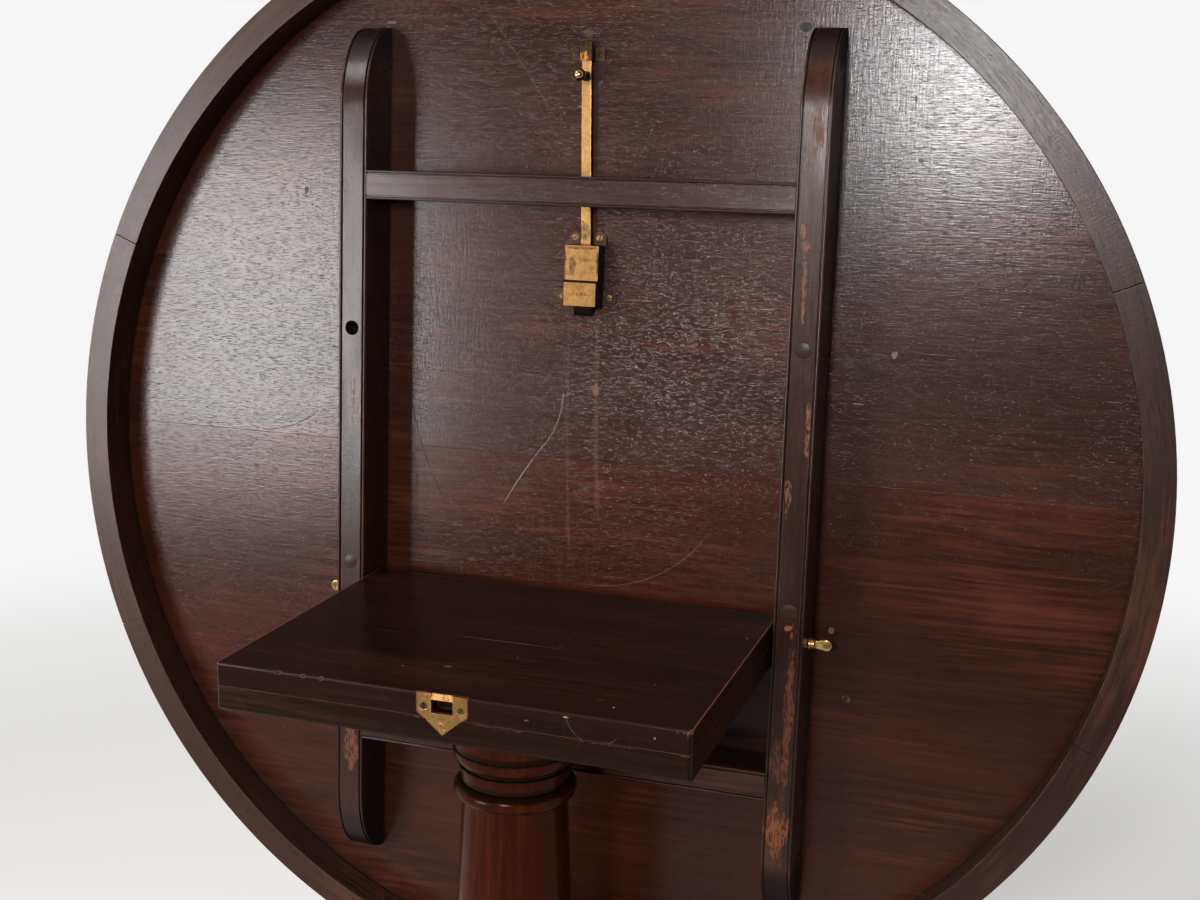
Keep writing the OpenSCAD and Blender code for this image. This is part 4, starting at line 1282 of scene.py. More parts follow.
BLOCK_MARKS = (
    Mark((-0.0905, -0.255, 0.7010), (0.0005, 0.02, 0.0040), (0.003, 0.002, 0.0015), 0.8, 0.1),
    Mark((-0.0708, -0.255, 0.7000), (0.0005, 0.02, 0.0045), (0.003, 0.002, 0.0015), 0.8, 0.1),
    Mark((-0.0522, -0.255, 0.6763), (0.0005, 0.02, 0.0060), (0.003, 0.002, 0.0015), 0.8, 0.1),
    Mark((-0.1557, -0.255, 0.6764), (0.0006, 0.02, 0.0050), (0.004, 0.003, 0.002), 0.7, 0.1),
    Mark((0.0548, -0.255, 0.7000), (0.0010, 0.02, 0.0022), (0.003, 0.002, 0.0015), 0.8, 0.3),
    Mark((0.1174, -0.255, 0.7033), (0.0024, 0.02, 0.0008), (0.26, 0.19, 0.16), 0.8, 0.4),
    Mark((0.0808, -0.255, 0.6948), (0.0026, 0.02, 0.0008), (0.15, 0.09, 0.07), 0.6, 0.6),
    Mark((0.1984, -0.255, 0.6959), (0.0010, 0.02, 0.0010), (0.22, 0.15, 0.12), 0.7, 0.4),
    Mark((0.2270, -0.253, 0.7045), (0.0070, 0.01, 0.0018), (0.20, 0.11, 0.08), 0.7, 0.9),
    Mark((0.1521, -0.2272, 0.707), (0.0010, 0.0014, 0.01), (0.34, 0.28, 0.24), 0.8, 0.2),
    Mark((-0.0655, -0.1987, 0.707), (0.0012, 0.0014, 0.01), (0.16, 0.12, 0.10), 0.6, 0.2),
    Mark((-0.0260, -0.1850, 0.707), (0.0042, 0.0014, 0.01), (0.16, 0.12, 0.10), 0.6, 0.6),
    Mark((0.0265, -0.1386, 0.707), (0.0012, 0.0014, 0.01), (0.12, 0.09, 0.07), 0.5, 0.2),
    Mark((0.1695, -0.1594, 0.707), (0.0008, 0.0010, 0.01), (0.18, 0.14, 0.12), 0.6, 0.2),
    Mark((0.1351, -0.2145, 0.707), (0.0045, 0.0006, 0.01), (0.12, 0.08, 0.07), 0.5, 0.4),
    Mark((0.2184, -0.0010, 0.707), (0.0016, 0.0022, 0.01), (0.22, 0.07, 0.02), 0.6, 0.4),
)
BLOCK_SCORES = (
    Score((0.1446, 0.0, 0.7095), 0.0276, (0.139, 0.0, 0.690), 0.028, 0.0005, (0.11, 0.06, 0.05), 0.5, 0.4),
)
BLOCK = WoodFinish(
    name="block_mahogany",
    dark=(0.006, 0.0026, 0.002),
    mid=(0.012, 0.0046, 0.003),
    light=(0.028, 0.009, 0.005),
    grain=Grain.ACROSS,
    shift=(0.1, 0.9, 0.3),
    roughness=0.22,
    gloss=0.07,
    bump=0.08,
    wear=1.1,
    wear_width=0.0026,
    worn=(0.20, 0.055, 0.036),
    scratch=0.12,
    haze=0.0,
    marks=BLOCK_MARKS,
    over=BLOCK_OVER,
    scores=BLOCK_SCORES,
)
BLOCK_UNDER = WoodFinish(
    name="block_under_mahogany",
    dark=(0.0068, 0.0030, 0.0019),
    mid=(0.0145, 0.0062, 0.0036),
    light=(0.027, 0.0105, 0.005),
    grain=Grain.ACROSS,
    shift=(0.6, 0.2, 0.8),
    roughness=0.24,
    gloss=0.06,
    bump=0.08,
    wear=0.4,
    wear_width=0.0012,
    worn=(0.05, 0.03, 0.02),
    scratch=0.12,
    haze=0.0,
    marks=BLOCK_MARKS[:4],
    over=BLOCK_OVER[:5],
)
COLUMN = WoodFinish(
    name="column_mahogany",
    dark=(0.018, 0.0030, 0.0007),
    mid=(0.034, 0.0055, 0.0011),
    light=(0.062, 0.0110, 0.0020),
    grain=Grain.UP,
    shift=(0.2, 0.0, 0.6),
    streaks=0.6,
    coarse=0.4,
    roughness=0.22,
    gloss=0.05,
    wear=0.2,
    worn=(0.14, 0.045, 0.02),
    scratch=0.05,
    haze=0.0,
    bump=0.06,
    marks=(
        # Painted dark reflection: near-black bands on the upper faces of the capital's rings
        Mark((0.0, -0.075, 0.5570), (0.20, 0.20, 0.0062), (0.006, 0.0022, 0.0012), 0.9, 0.05, 0.0),
        Mark((0.0, -0.075, 0.5755), (0.20, 0.20, 0.0042), (0.006, 0.0022, 0.0012), 0.9, 0.05, 0.0),
        Mark((0.0, -0.075, 0.5950), (0.20, 0.20, 0.0050), (0.006, 0.0022, 0.0012), 0.9, 0.05, 0.0),
    ),
)
BASE = WoodFinish(
    name="base_mahogany",
    dark=(0.012, 0.004, 0.002),
    mid=(0.042, 0.0105, 0.004),
    light=(0.09, 0.022, 0.007),
    grain=Grain.ACROSS,
    shift=(0.5, 0.5, 0.0),
    streaks=0.6,
    roughness=0.36,
    gloss=0.35,
    coat=0.15,
    wear=0.6,
    worn=(0.16, 0.06, 0.028),
)
PLUG = WoodFinish(
    name="plug_wood",
    dark=(0.008, 0.004, 0.003),
    mid=(0.018, 0.008, 0.0055),
    light=(0.035, 0.016, 0.010),
    grain=Grain.ACROSS,
    shift=(0.0, 0.3, 0.0),
    wear=0.3,
    gloss=0.12,
    roughness=0.3,
)
CASE_BRASS = MetalFinish(
    name="case_brass",
    bright=(0.160, 0.086, 0.030),
    dull=(0.100, 0.050, 0.017),
    dirt=(0.055, 0.022, 0.008),
    grime=0.5,
    polish=0.36,
    bump=0.0,
    # The case's sides that turn away from this front get painted shade
    front=(0.0, -0.999, 0.044),
    marks=(
        Mark((-0.010, 0.095, 1.060), (0.0050, 0.02, 0.0100), (0.020, 0.016, 0.011), 0.9, 0.7),
        Mark((0.006, 0.095, 1.066), (0.0080, 0.02, 0.0025), (0.025, 0.014, 0.007), 0.8, 0.7),
        Mark((0.018, 0.095, 1.062), (0.0022, 0.02, 0.0150), (0.010, 0.006, 0.004), 0.95, 0.5),
        Mark((-0.0185, 0.095, 1.050), (0.0018, 0.02, 0.0350), (0.035, 0.011, 0.003), 0.9, 0.5),
        Mark((0.0, 0.095, 1.0785), (0.0200, 0.02, 0.0016), (0.035, 0.011, 0.003), 0.9, 0.5),
        Mark((0.002, 0.095, 1.030), (0.0150, 0.02, 0.0018), (0.040, 0.018, 0.006), 0.8, 0.8),
    ),
)
BRASS = MetalFinish(
    name="old_brass",
    bright=(0.27, 0.150, 0.051),
    dull=(0.17, 0.090, 0.029),
    dirt=(0.09, 0.038, 0.014),
    grime=0.55,
    polish=0.30,
    bump=0.0,
    marks=(
        Mark((-0.006, 0.125, 1.292), (0.0090, 0.02, 0.0150), (0.012, 0.006, 0.004), 1.0, 0.1),
        Mark((-0.002, 0.110, 1.095), (0.0090, 0.02, 0.0110), (0.030, 0.018, 0.011), 0.85, 0.5),
        Mark((-0.001, 0.110, 1.082), (0.0060, 0.02, 0.0040), (0.20, 0.08, 0.022), 0.7, 0.6),
    ),
)
STRAP_BRASS = MetalFinish(
    name="strap_brass",
    bright=(0.034, 0.019, 0.011),
    dull=(0.021, 0.012, 0.007),
    dirt=(0.009, 0.006, 0.004),
    grime=0.5,
    polish=0.36,
    marks=(
        Mark((-0.0075, 0.115, 1.275), (0.0060, 0.02, 0.0060), (0.26, 0.095, 0.025), 0.85, 0.9),
    ),
)
BRASS_RUBBED = MetalFinish(
    name="rubbed_brass",
    bright=(0.44, 0.25, 0.086),
    dull=(0.28, 0.145, 0.046),
    dirt=(0.11, 0.042, 0.013),
    grime=0.55,
    polish=0.24,
    marks=(
        Mark((-0.0185, -0.255, 0.7020), (0.0060, 0.01, 0.0060), (0.36, 0.150, 0.040), 0.7, 0.9),
        Mark((0.0185, -0.255, 0.7030), (0.0060, 0.01, 0.0042), (0.48, 0.170, 0.030), 0.85, 0.7),
        Mark((0.0150, -0.255, 0.6930), (0.0060, 0.01, 0.0070), (0.20, 0.100, 0.040), 0.6, 1.0),
    ),
)
THUMB_BRASS = MetalFinish(
    name="thumb_brass",
    bright=(0.70, 0.45, 0.17),
    dull=(0.42, 0.24, 0.085),
    dirt=(0.05, 0.024, 0.010),
    grime=0.45,
    polish=0.2,
    marks=tuple(
        Mark((side * 0.2845, 0.080, 0.682), (0.0048, 0.010, 0.0046), (0.050, 0.034, 0.020), 0.85, 0.6)
        for side in (-1, 1)
    ),
)
KNOB_BRASS = MetalFinish(
    name="knob_brass",
    bright=(0.34, 0.20, 0.08),
    dull=(0.22, 0.12, 0.045),
    dirt=(0.03, 0.015, 0.006),
    grime=0.35,
    polish=0.16,
)
BRASS_DARK = MetalFinish(
    name="browned_brass",
    bright=(0.032, 0.020, 0.012),
    dull=(0.020, 0.012, 0.008),
    dirt=(0.008, 0.005, 0.004),
    grime=0.5,
    polish=0.36,
)
STEEL = MetalFinish(
    name="dark_steel",
    bright=(0.045, 0.037, 0.030),
    dull=(0.028, 0.022, 0.018),
    dirt=(0.008, 0.006, 0.005),
    grime=0.5,
    polish=0.4,
)
SCREW_BROWN = MetalFinish(
    name="browned_screw",
    bright=(0.12, 0.066, 0.028),
    dull=(0.070, 0.037, 0.016),
    dirt=(0.012, 0.006, 0.003),
    grime=0.5,
    polish=0.38,
)


@dataclass
class SubAssembly:
    """Shared ways to dress and seat pieces."""

    finishes: Finishes
    body: str = "top"
    count: int = 0

    def seat(self, piece: Piece, finish: Finish, slot: str, *nodes: str, also: Sequence[Finish] = ()) -> None:
        """Dresses a piece, makes it ride its body and stand for CAD nodes.

        Args:
            piece: The piece, in place.
            finish: Its finish.
            slot: Material slot in the record; not used.
            *nodes: CAD nodes that it replaces.
            also: Further finishes, for faces that coat() gave the numbers 1, 2 and so on.
        """
        faces = piece.data.polygons
        index = [0] * len(faces)
        faces.foreach_get("material_index", index)
        piece.data.materials.clear()
        for item in (finish, *also):
            piece.data.materials.append(self.finishes.get(item))
        faces.foreach_set("material_index", [min(i, len(also)) for i in index])
        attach(piece, self.body)
        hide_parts(*nodes)
        self.count += 1

    def keep(self, finish: Finish, node: str) -> None:
        """Gives a CAD node that stays in view a finish.

        Args:
            finish: The finish.
            node: Name of the node.
        """
        data = frame["nodes"][node].data
        data.materials.clear()
        data.materials.append(self.finishes.get(finish))
        self.count += 1


# The top


@dataclass
class RoundTop(SubAssembly):
    """The two boards of the top and the apron under their rim.

    apron_gap is half the gap between two of its lengths, in degrees.
    """

    radius: float = 610 * MM
    middle: float = MIDDLE
    seam: float = 167 * MM
    thickness: float = 22 * MM
    inset: float = 0.15 * MM
    glue: float = 0.05 * MM
    apron_thickness: float = 30 * MM
    apron_depth: float = 42 * MM
    apron_parts: int = 8
    apron_gap: float = 0.006

    def board(self, name: str, upper: bool) -> Piece:
        """Makes one board: a disc cut along the seam, a little inside the apron.

        Args:
            name: Name of the piece.
            upper: True for the upper board.

        Returns:
            The board.
        """
        half = math.degrees(math.acos((self.seam - self.middle) / self.radius))
        ends = (90 - half, 90 + half) if upper else (90 + half, 450 - half)
        reach = self.radius - self.inset
        piece = prism(name, arc(0, self.middle, reach, reach, *ends, 150), -self.thickness, 0)
        edge = self.seam + (self.glue if upper else -self.glue)
        for v in piece.data.vertices:
            if abs(v.co.y - self.seam) < 1e-5:
                v.co.y = edge
        return shade(place(soften(piece, 0.2 * MM), ON_TOP))

    def apron(self, index: int) -> Piece:
        """Makes one curved length of the apron.

        Args:
            index: Its number, from 1.

        Returns:
            The length.
        """
        part = 360 / self.apron_parts
        start = (index - 0.5) * part + self.apron_gap
        stop = (index - 0.5) * part + part - self.apron_gap
        inner = self.radius - self.apron_thickness
        rim = arc(0, self.middle, self.radius, self.radius, start, stop, 28)
        back = arc(0, self.middle, inner, inner, stop, start, 28)
        piece = prism(f"apron_length_{index}", rim + back, 0, self.apron_depth)
        return shade(place(soften(piece, 0.9 * MM), ON_TOP))

    def build(self) -> None:
        """Builds and dresses boards and apron."""
        self.seat(self.board("board_upper", True), BOARD_UPPER, "board_mahogany", "top_board_upper")
        self.seat(self.board("board_lower", False), BOARD_LOWER, "board_mahogany", "top_board_lower")
        for i in range(1, self.apron_parts + 1):
            self.seat(self.apron(i), APRON, "apron_mahogany", f"apron_{i}")


# A place along a path: length, height, outward length and outward height
Station = tuple[float, float, float, float]


@dataclass
class Frame(SubAssembly):
    """Bearers, rails, and the screws and plugs that hold the bearers."""

    inner: float = 233.3 * MM
    width: float = 32.2 * MM
    depth: float = 59 * MM
    up: float = 624.7 * MM
    down_left: float = -316.7 * MM
    down_right: float = -304.7 * MM
    nose: float = 86 * MM
    bead: float = 1.5 * MM
    quirk: float = 1.2 * MM
    quirk_depth: float = 1.5 * MM
    rail: float = 31 * MM
    rail_up: float = 440.5 * MM
    rail_low: float = -166.5 * MM
    rub: float = 0.35 * MM
    rub_below: float = 1.2 * MM

    def section(self, width: float) -> list[Point]:
        """Draws the front of a bearer or rail: a bead and a quirk along each edge, and a flat between.

        Args:
            width: Width over all.

        Returns:
            Points (across, depth below the front).
        """
        bead, deep = self.bead, self.quirk_depth + 0.5 * MM
        far = 2 * bead + self.quirk
        turns = [math.pi * k / 8 for k in range(9)]
        half = [(bead - bead * math.cos(t), bead - bead * math.sin(t)) for t in turns]
        left = [*half, (2 * bead, deep), (far, deep), (far, 0.35 * MM), (far + 0.4 * MM, 0.0)]
        flat_lo, flat_hi = left[-1][0], width - left[-1][0]
        flat = [(flat_lo + (flat_hi - flat_lo) * k / 3, 0.0) for k in (1, 2)]
        return left + flat + [(width - a, d) for a, d in reversed(left)]

    def sweep(self, name: str, path: Sequence[Station], width: float) -> Piece:
        """Carries the section along a path, with its front a little rubbed.

        Args:
            name: Name of the piece.
            path: The stations.
            width: Width of the section.

        Returns:
            The piece on (across, length, height), resting on height 0.
        """
        section = self.section(width)
        rings: list[list[Spot]] = []
        for s, h, ns, nh in path:
            foot = s - ns * 3 * MM
            ring = [(0.0, foot, 0.0)]
            for a, d in section:
                if d < self.rub_below:
                    d += self.rub * max(0.0, noise.noise(Vector((a * 90, s * 22, width * 50))))
                ring.append((a, s - ns * d, max(0.0, h - nh * d)))
            ring.append((width, foot, 0.0))
            rings.append(ring)
        return loft(name, rings)

    def nose_path(self, middle: float, start: float) -> list[Station]:
        """Lists the stations round a nose, a quarter of an ellipse.

        Args:
            middle: Place of the ellipse's middle along the bearer.
            start: First angle in degrees.

        Returns:
            The stations.
        """
        path: list[Station] = []
        for t in (math.radians(start + 90 * k / 26) for k in range(27)):
            n = Vector((math.cos(t) / self.nose, math.sin(t) / self.depth)).normalized()
            path.append((middle + self.nose * math.cos(t), self.depth * math.sin(t), n.x, n.y))
        return path

    def bearer(self, name: str, side: int, low: float) -> Piece:
        """Makes a bearer with a rounded nose at each end and beads along its front edges.

        Args:
            name: Name of the piece.
            side: 1 for the right one, -1 for the left one.
            low: Place of its lower end.

        Returns:
            The bearer.
        """
        hi, lo = self.up - self.nose, low + self.nose
        straight = [(hi + (lo - hi) * k / 64, self.depth, 0.0, 1.0) for k in range(1, 64)]
        piece = self.sweep(name, self.nose_path(hi, 0) + straight + self.nose_path(lo, 90), self.width)
        place(piece, at(self.inner if side > 0 else -self.inner - self.width, 0))
        middle = side * (self.inner + self.width / 2)
        holes = [self.post(8 * MM, 25 * MM, 80 * MM, middle, v) for v in self.sunk_holes(side)]
        bore = lathe("bore", [(4.56 * MM, -0.05), (4.56 * MM, 0.05)], 40)
        place(bore, at(middle, 0, UNDERSIDE) @ turn(90, "Y"))
        return shade(place(combine(piece, [*holes, bore]), ON_TOP))

    @staticmethod
    def sunk_holes(side: int) -> tuple[float, float]:
        """Places of a bearer's sunk screws, as distances from the pivot."""
        return (301 * MM, 39 * MM) if side < 0 else (308 * MM, 39 * MM)

    @staticmethod
    def post(radius: float, lo: float, hi: float, x: float, v: float) -> Piece:
        """A round post that stands on the underside, for cutting holes."""
        return place(lathe("post", [(radius, lo), (radius, hi)], 48), at(x, v))

    def cross_rail(self, name: str, v: float, notched: bool) -> Piece:
        """Makes a cross rail with beads along both front edges.

        Args:
            name: Name of the piece.
            v: Place of its lower edge.
            notched: True if it has a notch for the rod.

        Returns:
            The rail.
        """
        steps = 40
        path = [(-self.inner + 2 * self.inner * k / steps, self.depth, 0.0, 1.0) for k in range(steps + 1)]
        piece = self.sweep(name, path, self.rail)
        place(piece, Matrix(((0, 1, 0, 0), (1, 0, 0, v), (0, 0, 1, 0), (0, 0, 0, 1))))
        piece.data.flip_normals()
        if notched:
            notch = prism("notch", rect(8 * MM, v - 0.01, v + 0.05), -0.01, 11 * MM)
            combine(piece, [place(notch, ROD_ON_TOP)])
        return shade(place(piece, ON_TOP))

    def build(self) -> None:
        """Builds and dresses bearers, rails, screws and plugs."""
        left = self.bearer("bearer_on_left", -1, self.down_left)
        self.seat(left, BEARER, "frame_mahogany", "bearer_left")
        right = self.bearer("bearer_on_right", 1, self.down_right)
        self.seat(right, BEARER, "frame_mahogany", "bearer_right")
        above = self.cross_rail("rail_above", self.rail_up, True)
        self.seat(above, RAIL, "frame_mahogany", "rail_upper")
        below = self.cross_rail("rail_below", self.rail_low, False)
        self.seat(below, RAIL, "frame_mahogany", "rail_lower")
        mid = self.inner + self.width / 2
        screws, plugs = [], []
        for side in (-1, 1):
            for k, v in enumerate(self.sunk_holes(side)):
                screw = slotted_screw(5 * MM, 3 * MM, 2.5 * MM, 30 * MM, 25 + 70 * k + 40 * side)
                screws.append(place(screw, at(side * mid, v, 25 * MM)))
                if (side, k) != (-1, 0):
                    profile = metres([(7.85, 51), (7.85, 58.5), (7.2, 59)])
                    profile = [(CORE, 51 * MM), *profile, (CORE, 59.1 * MM)]
                    plugs.append(place(lathe("plug", profile, 40), at(side * mid, v)))
        self.seat(place(join("sunk_screws", screws), ON_TOP), STEEL, "dark_steel", "bearer_screws")
        self.seat(shade(place(join("wooden_plugs", plugs), ON_TOP)), PLUG, "plug_wood", "bearer_plugs")


@dataclass
class CatchCase(SubAssembly):
    """The catch's case and rod guide, with their screws and the spring inside."""

    start: float = 336 * MM
    length: float = 64 * MM
    width: float = 38 * MM
    tall: float = 24 * MM
    low: float = 20 * MM
    step: float = 25 * MM
    wall: float = 2 * MM
    strap: Point = (591 * MM, 605 * MM)
    strap_screw: float = 13.15 * MM

    def case(self) -> Piece:
        """Makes a box with a taller mouth, four lugs, and slots for tongue and rod.

        Returns:
            The case.
        """
        half, w = self.width / 2, self.wall
        s, e, step = self.start, self.start + self.length, self.start + self.step
        side = [(s, 0), (s, self.tall), (step, self.tall), (step + 2 * MM, self.low), (e, self.low), (e, 0)]
        body = prism("catch_box", side, -half, half, Axis.X)
        over = self.tall - 2 * MM
        front = [(-half, -0.01), (half, -0.01), *arc(half - 2 * MM, over, 2 * MM, 2 * MM, 0, 90, 6)]
        front += arc(2 * MM - half, over, 2 * MM, 2 * MM, 90, 180, 6)
        combine(body, [prism("front", front, s - 0.01, e + 0.01, Axis.Y)], Way.KEEP)
        inside = [
            (s + w, -0.001),
            (s + w, self.tall - w),
            (step - w, self.tall - w),
            (step, self.low - w),
            (e - w, self.low - w),
            (e - w, -0.001),
        ]
        room = prism("room", inside, -half + w, half - w, Axis.X)
        mouth = prism("mouth", rect(10.5 * MM, s - 0.01, s + 0.003), 7.5 * MM, 14.5 * MM)
        slot = place(prism("slot", rect(5.8 * MM, e - 0.003, e + 0.01), 4 * MM, 8 * MM), ROD_ON_TOP)
        soften(combine(body, [room, mouth, slot]), 0.45 * MM)
        lugs = [coat(self.lug(x, v), 1) for x, v in self.lug_spots()]
        return shade(place(join("catch_housing", [body, *lugs]), ON_TOP))

    def lug_spots(self) -> list[Point]:
        """Returns the places of the four lug screws."""
        end, front = self.start + self.length + 8 * MM, self.start + 8.55 * MM
        return [(-14 * MM, end), (14 * MM, end), (-26.2 * MM, front), (26.2 * MM, front)]

    def lug(self, x: float, v: float) -> Piece:
        """Makes a thin round-ended lug with a countersunk hole, joined to the case.

        Args:
            x, v: Place of its screw.

        Returns:
            The lug.
        """
        if abs(x) < self.width / 2:
            r = 7 * MM
            foot = self.start + self.length - 1.5 * MM
            outline = [(x - r, foot), (x + r, foot), *arc(x, v, r, r, 0, 180, 16)]
        else:
            r = 8.25 * MM
            side = math.copysign(1, x)
            inner = side * (self.width / 2 - 1.5 * MM)
            start = -90 if side > 0 else 90
            outline = [(inner, v - side * r), *arc(x, v, r, r, start, start + 180, 16), (inner, v + side * r)]
        plate = prism("lug", outline, 0, 2 * MM)
        sink = lathe("sink", [(1.6 * MM, -0.001), (1.6 * MM, 0.4 * MM), (4.2 * MM, 2.3 * MM)], 32)
        return soften(combine(plate, [place(sink, at(x, v))]), 0.3 * MM)

    def guide(self) -> Piece:
        """Makes the bent strap over the far end of the rod.

        Returns:
            The strap.
        """
        thick, inn, out, top, foot, soft = 1.8, 6.2, 8, 8.3, 18.3, 1.6
        half = [(foot, 0), (foot, thick), (out, thick), (out, top + thick - soft), (out - soft, top + thick)]
        inner = [(inn - soft, top), (inn, top - soft), (inn, 0)]
        left = [(-a, b) for a, b in reversed(half)] + [(-a, b) for a, b in reversed(inner)]
        strap = prism("rod_guide", metres([*half, *left, *inner]), *self.strap, Axis.Y)
        holes = []
        for x in (-self.strap_screw, self.strap_screw):
            sink = lathe("sink", [(1.4 * MM, -0.001), (1.4 * MM, 0.3 * MM), (3.1 * MM, 2.3 * MM)], 32)
            holes.append(place(sink, at(x, sum(self.strap) / 2)))
        return shade(place(soften(combine(strap, holes), 0.4 * MM), ON_ROD))

    def build(self) -> None:
        """Builds and dresses the case, the guide and their screws."""
        self.seat(self.case(), CASE_BRASS, "aged_brass", "catch_case", also=[BRASS_DARK])
        self.seat(self.guide(), STRAP_BRASS, "aged_brass", "catch_guide")
        screws = []
        for k, (x, v) in enumerate(self.lug_spots()):
            screw = slotted_screw(3.9 * MM, 0.7 * MM, 1.5 * MM, 15 * MM, 30 + 50 * k, 1.6 * MM)
            screws.append(place(screw, at(x, v, 1.9 * MM)))
        self.seat(place(join("case_screws", screws), ON_TOP), SCREW_BROWN, "dark_steel", "catch_screws")
        screws = []
        for side in (-1, 1):
            screw = slotted_screw(2.7 * MM, 0.4 * MM, 1.3 * MM, 11 * MM, 20 + 60 * side, 1.2 * MM)
            screws.append(place(screw, at(side * self.strap_screw, sum(self.strap) / 2, 1.7 * MM)))
        self.seat(place(join("strap_screws", screws), ON_ROD), BRASS_DARK, "dark_steel", "guide_screws")
        self.keep(STEEL, "catch_spring")


@dataclass
class CatchBolt(SubAssembly):
    """The sliding bolt, its flat rod and the knob that draws it back."""

    body: str = "catch"
    knob_at: float = 575 * MM
    ball: float = 6.7 * MM
    ball_height: float = 30 * MM

    def knob(self) -> Piece:
        """Makes a turned knob: collar, neck and ball.

        Returns:
            The knob.
        """
        face, neck = 7.5 * MM, 3.7 * MM
        foot = self.ball_height - math.sqrt(self.ball**2 - neck**2) - 0.2 * MM
        start = 5 - math.degrees(math.acos(neck / self.ball))
        stem = [
            (CORE, 4.5 * MM),
            (2 * MM, 4.5 * MM),
            (2 * MM, face),
            (4.9 * MM, face),
            (4.9 * MM, face + 1.9 * MM),
            (4.4 * MM, face + 2.7 * MM),
            (3.9 * MM, face + 3.0 * MM),
            (neck, face + 4.4 * MM),
            (neck * 0.82, face + 9 * MM),
            (neck, foot),
        ]
        dome = arc(0, self.ball_height, self.ball, self.ball, start, 88, 22)
        ball = [(neck, foot), *dome, (CORE, self.ball_height + self.ball)]
        whole = join("knob", [coat(lathe("stem", stem, 64), 1), lathe("ball", ball, 64)])
        return shade(place(whole, ON_ROD @ at(0, self.knob_at)), 30)

    def rod(self) -> Piece:
        """Makes the flat rod from the bolt to the guide.

        Returns:
            The rod.
        """
        half, end = 5.3, 612
        tip = [(half, end - 0.6), (half - 1.2, end), (1.2 - half, end), (-half, end - 0.6)]
        strip = prism("draw_rod", metres([(-half, 345.1), (half, 345.1), *tip]), 4.5 * MM, 7.5 * MM)
        return shade(place(soften(strip, 0.5 * MM), ON_ROD))

    def bolt(self) -> Piece:
        """Makes the block that slides in the case, with its bevelled tongue, rod slot and spring pin.

        Returns:
            The bolt.
        """
        block = prism("slider", rect(16.94 * MM, 338.06 * MM, 360.06 * MM), 0.06 * MM, 17.5 * MM)
        side = metres([(325, 8), (325, 9), (335, 14), (339, 14), (339, 8)])
        combine(block, [prism("tongue", side, -10 * MM, 10 * MM, Axis.X)], Way.ADD)
        channel = prism("channel", rect(5.35 * MM, 345 * MM, 370 * MM), 4.45 * MM, 7.55 * MM)
        combine(block, [place(channel, ROD_ON_TOP)])
        pin = lathe("pin", [(CORE, 0), *metres([(2.3, 0), (2.3, 5.2), (1.9, 5.6)]), (CORE, 5.6 * MM)], 32)
        place(pin, at(0, 359.5 * MM, 13.3 * MM) @ turn(-90, "X"))
        return shade(place(join("sliding_bolt", [soften(block, 0.3 * MM), pin]), ON_TOP))

    def build(self) -> None:
        """Builds and dresses bolt, rod and knob."""
        self.seat(self.knob(), KNOB_BRASS, "rubbed_brass", "catch_knob", also=[STEEL])
        self.seat(self.rod(), BRASS, "aged_brass", "catch_rod")
        self.seat(self.bolt(), BRASS_DARK, "rubbed_brass", "catch_bolt")


# The base


